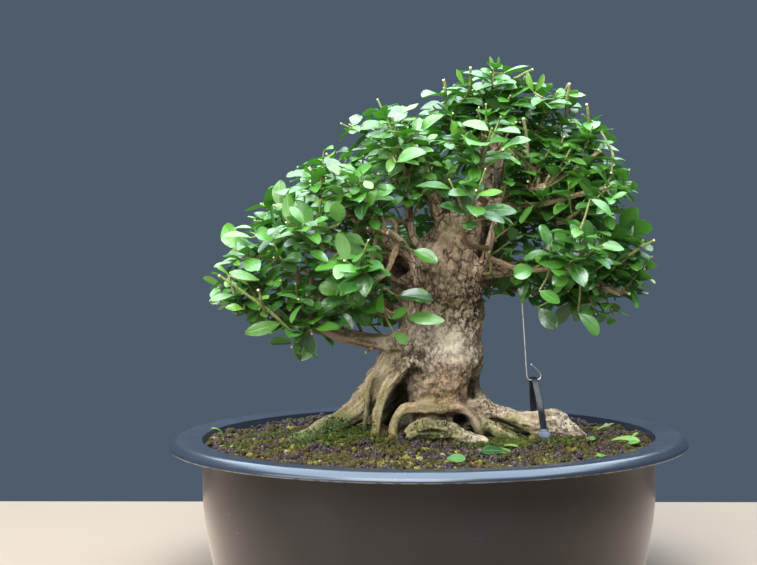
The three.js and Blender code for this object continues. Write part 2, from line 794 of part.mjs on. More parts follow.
/** All the sprays: a twig each, with leaves in crossed pairs that are bent clear of what stands near them. */
function makeSprays(places, fixed) {
  const twigs = places.map((place) => new Twig(place));
  const obstacles = [...fixed, ...twigs.map((twig) => twig.solid())].map((solid) => ({
    solid,
    box: solid.boundingBox(),
  }));
  const leaves = places.map(() => []);
  const apart = (a, b) => [0, 1, 2].some((n) => a.min[n] >= b.max[n] || b.min[n] >= a.max[n]);
  leafPairs.forEach(([share, baseLength], pair) => {
    twigs.forEach((twig, index) => {
      const grown = [];
      for (const side of [0, 2]) {
        const face = (pair % 2) + side;
        const draws = new Draws(2000 + places[index].seed * 16 + pair * 4 + side);
        const length = baseLength * draws.between(0.88, 1.12);
        for (const turn of leafTurns) {
          const angle = twig.facing + (face * Math.PI) / 2 + THREE.MathUtils.degToRad(turn);
          const point = twig.at(share).addScaledVector(roundTwig(twig.square, angle), twig.radius(share) * 0.7);
          const frame = leafFrame(point, twig.direction, angle, length, draws);
          const guard = leafBlade(frame, leafShape.clearance);
          const box = guard.boundingBox();
          const clear = obstacles.every(
            (other, n) =>
              n === fixed.length + index || apart(box, other.box) || guard.intersect(other.solid).volume() === 0,
          );
          if (!clear) continue;
          grown.push({ solid: leafBlade(frame), box });
          leaves[index].push({ ring: 1 + 2 * pair, face, frame });
          break;
        }
      }
      obstacles.push(...grown);
    });
  });
  return twigs.map((twig, index) => twig.solid(leaves[index]));
}

// Tie, wire and fallen leaves

/** The cable tie: a flat strap looped round the right root and through the wire's eye, with its head. */
function makeTie(extra = 0) {
  const place = (y, z) => tie.footX - tie.lean * (z - tie.footLevel) - tie.slant * (y - tie.headMiddle[0]);
  const route = new THREE.CatmullRomCurve3(tieLoop.map(([y, z]) => new THREE.Vector3(0, y, z)));
  const w = tie.width / 2 + extra;
  const h = tie.thickness / 2 + extra;
  const section = new THREE.Shape([
    new THREE.Vector2(-w, -h),
    new THREE.Vector2(w, -h),
    new THREE.Vector2(w, h),
    new THREE.Vector2(-w, h),
  ]);
  const strap = new THREE.ExtrudeGeometry(section, { steps: 26, extrudePath: route });
  const head = new THREE.BoxGeometry(...tie.head.map((size) => size + 2 * extra)).translate(0, ...tie.headMiddle);
  for (const piece of [strap, head]) {
    const position = piece.attributes.position;
    for (let i = 0; i < position.count; i++) {
      position.setX(i, position.getX(i) + place(position.getY(i), position.getZ(i)));
    }
  }
  return solidFromGeometry(strap).add(solidFromGeometry(head));
}

/** The guy wire. */
function makeWire() {
  return limb(wireRoute.map((point) => [...point, wireRadius]), 5);
}

/** A fallen leaf, lowered until it lies just on the soil. */
function fallenLeaf([x, y, turn, length], soil) {
  const angle = THREE.MathUtils.degToRad(turn);
  const along = new THREE.Vector3(Math.cos(angle), Math.sin(angle), 0);
  const blade = leafBlade({ root: new THREE.Vector3(x, y, 0), along, normal: new THREE.Vector3(0, 0, 1), length });
  let level = bowl.height + 12;
  const step = 0.2;
  while (blade.translate([0, 0, level - step - touchGap]).intersect(soil).volume() === 0) level -= step;
  return blade.translate([0, 0, level]);
}

// The part

const group = new THREE.Group();
const places = sprayPlaces();
const trunkSolid = makeTrunk(places);
const tieSolid = makeTie();
const wireSolid = makeWire();
const soilSolid = makeSoil([...rootClearances(), makeTie(touchGap)]);

group.add(meshOf("bowl", makeBowl(), colours.bowl, 0.4));
group.add(meshOf("soil", soilSolid, colours.soil, 0.95));
group.add(meshOf("trunk", trunkSolid, colours.bark, 0.85));
group.add(meshOf("cable_tie", tieSolid, colours.plastic, 0.5));
group.add(meshOf("guy_wire", wireSolid, colours.steel, 0.35, 0.9));
fallenLeaves.forEach((leaf, i) => {
  group.add(meshOf(`fallen_leaf_${i + 1}`, fallenLeaf(leaf, soilSolid), colours.fallenLeaf));
});
makeSprays(places, [trunkSolid, tieSolid, wireSolid]).forEach((spray, i) => {
  const color = i % 5 === 0 ? colours.youngLeaf : colours.leaf;
  group.add(meshOf(`spray_${String(i + 1).padStart(2, "0")}`, spray, color));
});

export default group;
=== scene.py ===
"""A privet bonsai in a round planting bowl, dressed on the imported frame.

Sizes and places are in millimetres, in the frame's axes: +Z up, -Y towards the front, +X to the right.
A mesh is turned into metres when it becomes a piece.
"""
import json
import logging
import math
from collections.abc import Callable, Iterable, Sequence
from dataclasses import dataclass, field
from enum import Enum

import bpy
import numpy as np
from mathutils import Matrix, Vector, noise


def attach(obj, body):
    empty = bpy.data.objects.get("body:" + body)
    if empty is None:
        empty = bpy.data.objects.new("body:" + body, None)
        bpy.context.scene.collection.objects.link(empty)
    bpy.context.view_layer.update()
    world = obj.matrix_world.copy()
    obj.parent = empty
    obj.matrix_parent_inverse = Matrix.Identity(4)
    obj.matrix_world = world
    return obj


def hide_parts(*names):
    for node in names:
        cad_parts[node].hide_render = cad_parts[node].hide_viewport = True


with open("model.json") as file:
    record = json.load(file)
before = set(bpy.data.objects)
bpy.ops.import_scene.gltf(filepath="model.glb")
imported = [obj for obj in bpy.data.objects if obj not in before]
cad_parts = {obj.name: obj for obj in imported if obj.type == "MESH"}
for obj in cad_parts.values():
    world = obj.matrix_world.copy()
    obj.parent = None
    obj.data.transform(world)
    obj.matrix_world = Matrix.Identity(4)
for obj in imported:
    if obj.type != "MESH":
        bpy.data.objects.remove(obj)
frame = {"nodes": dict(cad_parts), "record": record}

MM = 0.001
UP = np.array([0.0, 0.0, 1.0])
LOG = logging.getLogger("bonsai")

Point = tuple[float, float, float]
Colour = tuple[float, float, float]
Row = tuple[float, float, float, float]
Rows = tuple[Row, ...]
Mark = tuple[float, float, float, float, float]
Outline = tuple[tuple[float, float], ...]
Faces = list[list[int]]
Form = tuple[np.ndarray, Faces]
Draws = np.random.Generator
Material = bpy.types.Material
Piece = bpy.types.Object


# Shader expressions


class Wire:
    """A node's output whose sums and products add Math nodes."""

    def __init__(self, shader: "Shader", socket: bpy.types.NodeSocket) -> None:
        """Keeps the socket and the shader it belongs to."""
        self.shader = shader
        self.socket = socket

    def maths(self, operation: str, *values: "Wire | float") -> "Wire":
        """Adds a Math node with this operation."""
        return self.shader.node("ShaderNodeMath", {"operation": operation}, dict(enumerate(values)))

    def __add__(self, other: "Wire | float") -> "Wire":
        """Sum."""
        return self.maths("ADD", self, other)

    __radd__ = __add__

    def __mul__(self, other: "Wire | float") -> "Wire":
        """Product."""
        return self.maths("MULTIPLY", self, other)

    __rmul__ = __mul__

    def __sub__(self, other: "Wire | float") -> "Wire":
        """Difference."""
        return self.maths("SUBTRACT", self, other)

    def __rsub__(self, other: "Wire | float") -> "Wire":
        """Difference from a number."""
        return self.maths("SUBTRACT", other, self)

    def __abs__(self) -> "Wire":
        """Size without its sign."""
        return self.maths("ABSOLUTE", self)

    def rise(self, low: float, high: float) -> "Wire":
        """A smooth step.

        Args:
            low: The value where the step starts.
            high: The value where it ends; below low, the step falls.

        Returns:
            0 before the step and 1 after it.
        """
        settings = {"interpolation_type": "SMOOTHSTEP"}
        sockets = {"Value": self, "From Min": min(low, high), "From Max": max(low, high)}
        step = self.shader.node("ShaderNodeMapRange", settings, sockets)
        return step if low < high else 1 - step


class Shader:
    """A material in the making."""

    def __init__(self, name: str) -> None:
        """Starts an empty node tree.

        Args:
            name: The material's name.
        """
        self.material = bpy.data.materials.new(name)
        self.material.use_nodes = True
        self.nodes = self.material.node_tree.nodes
        self.nodes.clear()

    def node(
        self, kind: str, settings: dict[str, object], sockets: dict[str | int, object], output: str | int = 0
    ) -> Wire:
        """Adds a node.

        Args:
            kind: The node's type.
            settings: Its properties, set first.
            sockets: Values or wires for its inputs, by name or number.
            output: The output that is wanted.

        Returns:
            That output.
        """
        node = self.nodes.new(kind)
        for name, value in settings.items():
            setattr(node, name, value)
        for name, value in sockets.items():
            self._feed(node.inputs[name], value)
        return Wire(self, node.outputs[output])

    def _feed(self, socket: bpy.types.NodeSocket, value: object) -> None:
        """Links a wire to a socket, or sets the socket's own value.

        Args:
            socket: The input.
            value: A wire, a number or a colour.
        """
        if isinstance(value, Wire):
            self.material.node_tree.links.new(value.socket, socket)
        elif isinstance(value, tuple) and socket.type == "RGBA":
            socket.default_value = (*value, 1)
        else:
            socket.default_value = value

    def place(self) -> Wire:
        """The point on the surface, in metres."""
        return self.node("ShaderNodeTexCoord", {}, {}, "Object")

    def axis(self, place: Wire, name: str) -> Wire:
        """One coordinate of a place."""
        return self.node("ShaderNodeSeparateXYZ", {}, {0: place}, name)

    def value(self, name: str) -> Wire:
        """A value that the mesh carries at each point."""
        return self.node("ShaderNodeAttribute", {"attribute_name": name}, {}, "Fac")

    def stretched(self, place: Wire, factors: Point) -> Wire:
        """A place scaled along each axis."""
        return self.node("ShaderNodeVectorMath", {"operation": "MULTIPLY"}, {0: place, 1: factors})

    def cloud(self, place: Wire, size: float, detail: float = 4, bend: float = 0) -> Wire:
        """Noise.

        Args:
            place: Where it is read.
            size: The size of its features in millimetres.
            detail: How many finer layers it has.
            bend: How much it is distorted.

        Returns:
            A value round a half.
        """
        sockets = {"Vector": place, "Scale": 1 / (size * MM), "Detail": detail, "Distortion": bend}
        return self.node("ShaderNodeTexNoise", {}, sockets)

    def cells(self, place: Wire, size: float, feature: str = "F1") -> Wire:
        """Distance in a pattern of cells.

        Args:
            place: Where it is read.
            size: The size of a cell in millimetres.
            feature: F1 for the distance to the middle, DISTANCE_TO_EDGE for that to the edge.

        Returns:
            The distance, in cells.
        """
        sockets = {"Vector": place, "Scale": 1 / (size * MM)}
        return self.node("ShaderNodeTexVoronoi", {"feature": feature}, sockets)

    def mix(self, share: Wire | float, first: object, second: object) -> Wire:
        """Mixes two colours.

        Args:
            share: How much of the second.
            first: A colour or wire.
            second: A colour or wire.

        Returns:
            The mixed colour.
        """
        return self.node("ShaderNodeMix", {"data_type": "RGBA"}, {0: share, 6: first, 7: second}, 2)

    def relief(self, height: Wire, depth: float, strength: float = 1) -> Wire:
        """A bumped normal.

        Args:
            height: The height, from 0 to 1.
            depth: What a height of 1 measures, in millimetres.
            strength: How much of it shows.

        Returns:
            The normal.
        """
        sockets = {"Height": height, "Distance": depth * MM, "Strength": strength}
        return self.node("ShaderNodeBump", {}, sockets)

    def surface(self, **sockets: object) -> Material:
        """Closes the material.

        Args:
            **sockets: The Principled surface's inputs, with _ for a space.

        Returns:
            The material.
        """
        named = {name.replace("_", " "): value for name, value in sockets.items()}
        body = self.node("ShaderNodeBsdfPrincipled", {}, named)
        self.node_out(body)
        return self.material

    def node_out(self, body: Wire) -> None:
        """Joins a surface to the material's output."""
        self._feed(self.nodes.new("ShaderNodeOutputMaterial").inputs["Surface"], body)


# Finishes


@dataclass(frozen=True)
class BowlPlastic:
    """Satin dark plastic with faint scratches, and a thin worn line on the lip's lower edge."""

    name: str
    base: Colour
    sheen: Colour
    gloss: float
    roughness: float
    bloom: float
    worn: Colour = (0.42, 0.43, 0.45)
    dust: Colour = (0.20, 0.19, 0.18)
    mottled: Colour = (0.035, 0.038, 0.046)
    bloom_tint: Colour = (1.0, 0.82, 0.70)
    bloom_roughness: float = 0.45
    grain_depth: float = 0.012

    def material(self, lip_radius: float, lip_level: float) -> Material:
        """Makes the plastic.

        Args:
            lip_radius: Radius of the worn line.
            lip_level: Height that it lies below.

        Returns:
            The material.
        """
        s = Shader(self.name)
        place = s.place()
        height = s.axis(place, "Z")
        level_place = s.stretched(place, (1, 1, 0))
        radius = s.node("ShaderNodeVectorMath", {"operation": "LENGTH"}, {0: level_place}, "Value")
        patches = s.cloud(place, 30, 3)
        brushed = s.cloud(s.stretched(place, (0.25, 0.25, 1.6)), 1.6, 3)
        scratches = s.cloud(s.stretched(place, (1, 1, 9)), 26, 6, 0.4).rise(0.58, 0.76)
        tone = s.mix(patches * 0.3, self.base, self.mottled)
        on_edge = radius.rise((lip_radius - 0.6) * MM, lip_radius * MM)
        on_lip = on_edge * height.rise(lip_level * MM, (lip_level - 1) * MM)
        tone = s.mix(on_lip * s.cloud(place, 9, 3).rise(0.3, 0.6) * 0.6, tone, self.worn)
        specks = s.cloud(place, 1.5, 2).rise(0.70, 0.76)
        tone = s.mix(specks * 0.02, tone, self.dust)
        rough = self.roughness + patches * 0.08 + brushed * 0.03 + scratches * 0.01 + specks * 0.02
        relief = s.cloud(place, 5, 2) * 0.3 + brushed * 0.05
        return s.surface(Base_Color=tone, Roughness=rough, Normal=s.relief(relief, self.grain_depth),
                         Specular_IOR_Level=self.gloss, Specular_Tint=self.sheen, Sheen_Weight=self.bloom,
                         Sheen_Roughness=self.bloom_roughness, Sheen_Tint=self.bloom_tint)


# the rim is the body's black plastic; its bluish base colour paints the cool light that the rim reflects
RIM_PLASTIC_PAINTED_REFLECTION = BowlPlastic("rim_plastic_painted_reflection", (0.016, 0.023, 0.038), (0.66, 0.78, 0.92), 0.82, 0.2, 0.0)
BODY_PLASTIC = BowlPlastic("body_plastic", (0.007, 0.007, 0.0075), (1.0, 0.92, 0.88), 0.40, 0.2, 0.45)


@dataclass(frozen=True)
class Bark:
    """Tan-grey privet bark: cracked plates above, smooth pale patches, mossy roots, brown branches and
    painted shade.
    """

    light: Colour = (0.52, 0.44, 0.32)
    tan: Colour = (0.30, 0.235, 0.150)
    brown: Colour = (0.125, 0.084, 0.050)
    dark: Colour = (0.030, 0.018, 0.012)
    pale: Colour = (0.62, 0.56, 0.46)
    rust: Colour = (0.30, 0.145, 0.060)
    olive: Colour = (0.17, 0.155, 0.040)
    green: Colour = (0.030, 0.070, 0.010)
    branch: Colour = (0.25, 0.175, 0.120)
    twig: Colour = (0.50, 0.395, 0.29)
    # near-black colour of painted shade, laid on by the shade value
    hollow: Colour = (0.008, 0.005, 0.004)
    cracks_from: float = 187
    cracks_over: float = 16
    plate: float = 7.6
    relief_depth: float = 0.9

    def material(self) -> Material:
        """Makes the bark from its place and from the values that the trunk's mesh carries.

        Returns:
            The material.
        """
        s = Shader("bark")
        place = s.place()
        height = s.axis(place, "Z")
        fibre = s.value("fibre")
        streaks = s.cloud(s.stretched(place, (1, 1, 0.6)), 2.8, 6, 0.5) * 0.55 + fibre * 0.45
        mottle = s.cloud(s.stretched(place, (1, 1, 0.75)), 2.5, 7, 0.3)
        grain = s.cloud(place, 1.3, 6, 0.3)
        broad = s.cloud(place, 16, 3, 0.5)
        warp = s.node("ShaderNodeTexNoise", {}, {"Vector": place, "Scale": 130, "Detail": 4}, "Color")
        wander = s.node("ShaderNodeVectorMath", {"operation": "MULTIPLY_ADD"},
                        {0: warp, 1: (0.006, 0.006, 0.008), 2: s.stretched(place, (1, 1, 0.7))})
        cracked = height.rise(self.cracks_from * MM, (self.cracks_from + self.cracks_over) * MM)
        edges = s.cells(wander, self.plate, "DISTANCE_TO_EDGE")
        plates = edges.rise(0.065, 0.0) * cracked * s.cloud(place, 14, 2).rise(0.34, 0.52)
        hairs = s.cells(wander, 3.4, "DISTANCE_TO_EDGE").rise(0.09, 0.0) * broad.rise(0.42, 0.6)
        pits = s.value("pits") * mottle.rise(0.53, 0.44)
        branch, moss, pale = s.value("branch"), s.value("moss"), s.value("pale")
        calm = (1 - cracked * 0.45 - pale * 0.8) * (0.22 + broad.rise(0.40, 0.60) * 0.78)
        calm = calm * (1 - moss.rise(0, 0.5) * 0.45)
        tone = s.mix(streaks.rise(0.25, 0.72), self.tan, self.light)
        # above the cracks' height the bark turns browner: darker cracked bark, and painted shade of the crown
        # over the upper trunk
        tone = s.mix(cracked * 0.7, tone, s.mix(streaks.rise(0.3, 0.8), self.brown, self.tan))
        tone = s.mix(broad.rise(0.50, 0.66) * 0.5, tone, self.tan)
        tone = s.mix(pale * (0.5 + streaks.rise(0.2, 0.6) * 0.4), tone, self.pale)
        tone = s.mix(s.value("rust") * mottle.rise(0.38, 0.54), tone, self.rust)
        tone = s.mix(mottle.rise(0.51, 0.36) * calm * 0.75, tone, self.brown)
        tone = s.mix(grain.rise(0.46, 0.32) * calm * 0.85, tone, self.dark)
        tone = s.mix(branch * 0.92, tone, s.mix(streaks.rise(0.35, 0.65), self.branch, self.twig))
        tone = s.mix(moss.rise(0.05, 0.6) * mottle.rise(0.3, 0.6) * 0.85, tone, self.olive)
        tone = s.mix(moss.rise(0.4, 1) * grain.rise(0.32, 0.47), tone, self.green)
        tone = s.mix(plates * 0.92 + hairs * 0.35 + pits * 0.9, tone, self.dark)
        flecks = 0.7 - cracked * 0.4 - moss * 0.3 - pits * 0.5
        tone = s.mix(grain.rise(0.56, 0.74) * flecks, tone, self.pale)
        # painted shade: the shade value turns the bark near black in recesses, gaps, pits and cracks, and
        # partly under the crown
        tone = s.mix(s.value("shade"), tone, self.hollow)
        ground = (streaks * 0.25 + mottle * 0.3 + grain * 0.35) * (1 - pale * 0.4)
        ground = ground - plates * 0.7 - hairs * 0.2 - pits * 0.7
        return s.surface(Base_Color=tone, Roughness=0.7 + grain * 0.25, Specular_IOR_Level=0.25,
                         Normal=s.relief(ground, self.relief_depth))


@dataclass(frozen=True)
class LeafSkin:
    """A privet leaf: glossy green above, paler below, with a fine rib, side veins and yellow-green tips."""

    name: str = "leaf_skin"
    deep: Colour = (0.010, 0.056, 0.010)
    fresh: Colour = (0.088, 0.32, 0.032)
    young: Colour = (0.165, 0.39, 0.03)
    below: Colour = (0.072, 0.225, 0.030)
    rib: Colour = (0.26, 0.50, 0.12)
    through: Colour = (0.30, 0.66, 0.03)
    blotched: Colour = (0.03, 0.12, 0.012)
    sheen: Colour = (0.90, 0.93, 1.0)
    roughness: float = 0.27
    gloss: float = 1.0
    bending: float = 1.7
    lets_through: float = 0.3
    veins: float = 8.5

    def material(self) -> Material:
        """Makes the leaf from the place along and across it that the mesh carries.

        Returns:
            The material.
        """
        s = Shader(self.name)
        place = s.place()
        along, across = s.value("along"), abs(s.value("across"))
        top, tone, age = s.value("top").rise(0.5, 0.6), s.value("tone"), s.value("young")
        blotch = s.cloud(place, 6, 4)
        rib = across.rise(0.07, 0.01) * along.rise(1.02, 0.6)
        slant = (along - across * 0.3) * self.veins
        vein = slant.maths("PINGPONG", slant, 0.5).rise(0.1, 0.0) * across.rise(0.95, 0.7)
        colour = s.mix((tone * 0.75 + blotch * 0.35).rise(0.05, 0.85), self.deep, self.fresh)
        colour = s.mix(age, colour, self.young)
        colour = s.mix(vein * 0.12, colour, self.rib)
        colour = s.mix(across.rise(0.93, 1.0) * 0.25, colour, self.young)
        under = s.mix(age * 0.7, self.below, self.young)
        under = s.mix(blotch * 0.4, under, self.blotched)
        colour = s.mix(top, under, colour)
        colour = s.mix(rib * 0.6, colour, self.rib)
        rough = 0.55 - top * (0.55 - self.roughness) + blotch * 0.1
        height = rib * -0.5 + vein * -0.35 + s.cloud(place, 1.6, 2) * 0.25
        body = s.node("ShaderNodeBsdfPrincipled", {}, {
            "Base Color": colour, "Roughness": rough, "Normal": s.relief(height, 0.4, 0.8),
            "Specular IOR Level": self.gloss, "IOR": self.bending, "Specular Tint": self.sheen,
        })
        light_through = s.node("ShaderNodeBsdfTranslucent", {}, {"Color": self.through})
        s.node_out(s.node("ShaderNodeMixShader", {}, {0: self.lets_through, 1: body, 2: light_through}))
        return s.material


@dataclass(frozen=True)
class TwigSkin:
    """Skin of a shoot: brown wood at its foot, green above, pale where it was cut."""

    wood: Colour = (0.19, 0.125, 0.072)
    green: Colour = (0.11, 0.22, 0.03)
    cut: Colour = (0.60, 0.59, 0.34)
    ripe: Colour = (0.55, 0.48, 0.22)
    light: Colour = (0.34, 0.28, 0.16)
    dark: Colour = (0.05, 0.035, 0.018)

    def material(self) -> Material:
        """Makes the skin from the values that the mesh carries.

        Returns:
            The material.
        """
        s = Shader("twig_skin")
        place = s.place()
        grain = s.cloud(place, 1.6, 5, 0.5)
        tone = s.mix(s.value("green"), self.wood, self.green)
        tone = s.mix(grain.rise(0.5, 0.66) * 0.6, tone, self.light)
        tone = s.mix(grain.rise(0.45, 0.33) * 0.75, tone, self.dark)
        tone = s.mix(s.value("cut"), tone, s.mix(grain * 0.4, self.cut, self.ripe))
        return s.surface(Base_Color=tone, Roughness=0.5 + grain * 0.25, Normal=s.relief(grain, 0.6, 0.9))


class Grit(Enum):
    """Kinds of soil grain: main colour, second colour and colour of the specks."""

    LAVA = ((0.036, 0.025, 0.026), (0.008, 0.005, 0.005), (0.22, 0.18, 0.19))
    BROWN = ((0.062, 0.041, 0.018), (0.013, 0.008, 0.004), (0.15, 0.115, 0.05))
    OLIVE = ((0.066, 0.057, 0.014), (0.016, 0.013, 0.003), (0.16, 0.145, 0.04))
    OCHRE = ((0.185, 0.165, 0.030), (0.045, 0.038, 0.008), (0.40, 0.37, 0.12))
    GREEN = ((0.062, 0.090, 0.010), (0.014, 0.022, 0.003), (0.18, 0.22, 0.03))
    PALE = ((0.30, 0.27, 0.13), (0.12, 0.10, 0.04), (0.48, 0.45, 0.27))

    def material(self) -> Material:
        """Makes the grain's porous stone.

        Returns:
            The material.
        """
        main, deep, specks = self.value
        s = Shader(f"grit_{self.name.lower()}")
        place = s.place()
        fine = s.cloud(place, 1.0, 6, 0.3)
        pores = s.cells(place, 0.8)
        tone = s.mix(s.value("tone") * 0.6 + fine * 0.4, deep, main)
        tone = s.mix(fine.rise(0.52, 0.66) * 0.85, tone, specks)
        tone = s.mix(pores.rise(0.3, 0.08) * 0.8, tone, deep)
        return s.surface(Base_Color=tone, Roughness=0.72 + fine * 0.2, Specular_IOR_Level=0.2,
                         Normal=s.relief(fine * 1.4 + pores * 0.6, 0.9))


@dataclass(frozen=True)
class Tuft:
    """Moss: short soft leaves, darker at their feet."""

    foot: Colour = (0.005, 0.014, 0.003)
    head: Colour = (0.048, 0.100, 0.010)
    dry: Colour = (0.13, 0.125, 0.022)

    def material(self) -> Material:
        """Makes the moss.

        Returns:
            The material.
        """
        s = Shader("moss")
        tone = s.mix(s.value("along") * (0.3 + s.value("tone") * 0.7), self.foot, self.head)
        tone = s.mix(s.cloud(s.place(), 8, 3).rise(0.48, 0.66) * 0.75, tone, self.dry)
        rough = 0.65 + s.cloud(s.place(), 3) * 0.2
        return s.surface(Base_Color=tone, Roughness=rough, Specular_IOR_Level=0.2)


@dataclass(frozen=True)
class TiePlastic:
    """Black nylon, a little scuffed, with a painted pale highlight on the top and front of the head."""

    black: Colour = (0.007, 0.008, 0.012)
    scuffed: Colour = (0.060, 0.078, 0.115)
    painted_head_highlight: Colour = (0.15, 0.18, 0.26)
    sheen: Colour = (0.82, 0.9, 1.0)

    def material(self) -> Material:
        """Makes the nylon.

        Returns:
            The material.
        """
        s = Shader("tie_nylon")
        place = s.place()
        scuffs = s.cloud(s.stretched(place, (3, 1, 0.6)), 3, 4).rise(0.5, 0.75)
        tone = s.mix(scuffs * 0.35, self.black, self.scuffed)
        height = s.axis(place, "Z")
        in_front = s.axis(place, "Y").rise(-22.2 * MM, -23 * MM)
        # painted highlight: pale blue-grey on the top and front faces of the head, where the overhead light
        # falls
        painted_highlight_on_head = height.rise(99 * MM, 100 * MM) * height.rise(106.6 * MM, 105.8 * MM) * in_front
        tone = s.mix(painted_highlight_on_head, tone, self.painted_head_highlight)
        return s.surface(Base_Color=tone, Roughness=0.3 + scuffs * 0.2, Specular_IOR_Level=0.55,
                         Specular_Tint=self.sheen, Normal=s.relief(s.cloud(place, 0.7), 0.05))


@dataclass(frozen=True)
class SteelWire:
    """Bare drawn steel wire."""

    bright: Colour = (0.84, 0.85, 0.87)
    dull: Colour = (0.52, 0.51, 0.49)

    def material(self) -> Material:
        """Makes the steel.

        Returns:
            The material.
        """
        s = Shader("wire_steel")
        stains = s.cloud(s.place(), 5, 4)
        tone = s.mix(stains.rise(0.5, 0.75), self.bright, self.dull)
        return s.surface(Base_Color=tone, Metallic=1.0, Roughness=0.34 + stains * 0.2)


@dataclass(frozen=True)
class FloorPaint:
    """A plain pale floor."""

    light: Colour = (0.220, 0.173, 0.134)
    dark: Colour = (0.205, 0.162, 0.125)

    def material(self) -> Material:
        """Makes the floor's matt paint.

        Returns:
            The material.
        """
        s = Shader("floor_paint")
        cloud = s.cloud(s.place(), 180, 3)
        return s.surface(Base_Color=s.mix(cloud * 0.2, self.light, self.dark), Roughness=0.55 + cloud * 0.1)


# Mesh tools


class Draft:
    """Points, faces and point values gathered before they become one piece."""

    def __init__(self, *values: str) -> None:
        """Starts empty.

        Args:
            *values: Names of the values that each point carries.
        """
        self.points: list[np.ndarray] = []
        self.faces: Faces = []
        self.slots: list[int] = []
        self.values: dict[str, list[np.ndarray]] = {name: [] for name in values}
        self.count = 0

    def add(
        self, points: np.ndarray, faces: Iterable[Sequence[int]], slot: int = 0, **values: object
    ) -> None:
        """Adds a form.

        Args:
            points: Its points, in millimetres.
            faces: Its faces, counted from its own first point.
            slot: Its material.
            **values: A number, or one for each point, for each named value; 0 if left out.
        """
        added = [[index + self.count for index in face] for face in faces]
        self.faces += added
        self.slots += [slot] * len(added)
        self.points.append(points)
        for name, rows in self.values.items():
            rows.append(np.broadcast_to(np.asarray(values.get(name, 0.0), float), (len(points),)))
        self.count += len(points)

    def piece(self, name: str, materials: Sequence[Material], crease: float = 180) -> Piece:
        """Makes the object.

        Args:
            name: Its name.
            materials: Its materials, by slot.
            crease: The angle in degrees from which an edge is sharp; 0 for flat faces.

        Returns:
            The object, linked to the scene.
        """
        mesh = bpy.data.meshes.new(name)
        mesh.from_pydata((np.vstack(self.points) * MM).tolist(), [], self.faces)
        mesh.polygons.foreach_set("material_index", self.slots)
        mesh.polygons.foreach_set("use_smooth", [crease > 0] * len(self.slots))
        for key, rows in self.values.items():
            write_values(mesh, key, np.concatenate(rows))
        if 0 < crease < 180:
            mesh.set_sharp_from_angle(angle=math.radians(crease))
        for material in materials:
            mesh.materials.append(material)
        made = bpy.data.objects.new(name, mesh)
        bpy.context.scene.collection.objects.link(made)
        return made


def write_values(mesh: bpy.types.Mesh, name: str, row: np.ndarray) -> None:
    """Gives each point of a mesh a value."""
    points = mesh.attributes.new(name, "FLOAT", "POINT").data
    points.foreach_set("value", row.astype(np.float32))


def solid_points(node: str) -> np.ndarray:
    """The points of one of the frame's solids, in millimetres."""
    places = np.array([vertex.co for vertex in frame["nodes"][node].data.vertices])
    return np.unique(np.round(places / MM, 3), axis=0)


def placed(piece: Piece, slot: str, *nodes: str) -> None:
    """Seats a piece in the frame.

    Args:
        piece: The piece.
        slot: The record's material slot; not used.
        *nodes: The solids that it stands for.
    """
    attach(piece, "root")
    if nodes:
        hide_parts(*nodes)
    LOG.info("%s: %d faces", piece.name, len(piece.data.polygons))


def changed(piece: Piece, kind: str, **settings: object) -> None:
    """Applies a modifier.

    Args:
        piece: The piece, whose mesh is exchanged.
        kind: The modifier's type.
        **settings: Its properties.
    """
    modifier = piece.modifiers.new(kind.title(), kind)
    for name, value in settings.items():
        setattr(modifier, name, value)
    before = piece.data
    piece.data = bpy.data.meshes.new_from_object(piece.evaluated_get(bpy.context.evaluated_depsgraph_get()))
    piece.modifiers.clear()
    bpy.data.meshes.remove(before)


def cut(piece: Piece, tool: Piece) -> None:
    """Cuts a tool's shape out of a piece, and deletes the tool."""
    changed(piece, "BOOLEAN", operation="DIFFERENCE", solver="EXACT", object=tool)
    bpy.data.objects.remove(tool)


def unit(vector: np.ndarray) -> np.ndarray:
    """A vector, or rows of vectors, at length 1."""
    return vector / np.maximum(np.linalg.norm(vector, axis=-1, keepdims=True), 1e-9)


def square_to(vector: np.ndarray, direction: np.ndarray) -> np.ndarray:
    """The part of a vector that lies square to a direction, at length 1."""
    return unit(vector - direction * (vector @ direction))


def level_and_up(direction: np.ndarray) -> tuple[np.ndarray, np.ndarray]:
    """Two directions square to one: the first nearly level, the second upward."""
    level = unit(np.cross((0.02, 0, 1), direction))
    return level, np.cross(direction, level)


def swung(first: np.ndarray, second: np.ndarray, angle: float) -> np.ndarray:
    """The direction at an angle from the first towards the second."""
    return first * math.cos(angle) + second * math.sin(angle)


def circle(sides: int) -> np.ndarray:
    """The angles of a circle's points."""
    return np.linspace(0, 2 * math.pi, sides, endpoint=False)


def runs_along(path: np.ndarray) -> np.ndarray:
    """How far along a path each of its points lies."""
    steps = np.linalg.norm(np.diff(path[:, :3], axis=0), axis=1)
    return np.concatenate([[0], np.cumsum(steps)])


def spline(points: Sequence[Sequence[float]], step: float) -> np.ndarray:
    """A smooth curve through points.

    Args:
        points: Rows of coordinates, which may carry a radius.
        step: About how far apart its points are.

    Returns:
        Rows like the points.
    """
    rows = np.asarray(points, float)
    ends = np.vstack([2 * rows[0] - rows[1], rows, 2 * rows[-1] - rows[-2]])
    curve = []
    for a, b, c, d in zip(ends, ends[1:], ends[2:], ends[3:]):
        count = max(2, round(np.linalg.norm((c - b)[:3]) / step))
        t = np.linspace(0, 1, count, endpoint=False)[:, None]
        curve.append(b + 0.5 * t * (c - a + t * (2 * a - 5 * b + 4 * c - d + t * (3 * (b - c) + d - a))))
    return np.vstack([*curve, rows[-1:]])


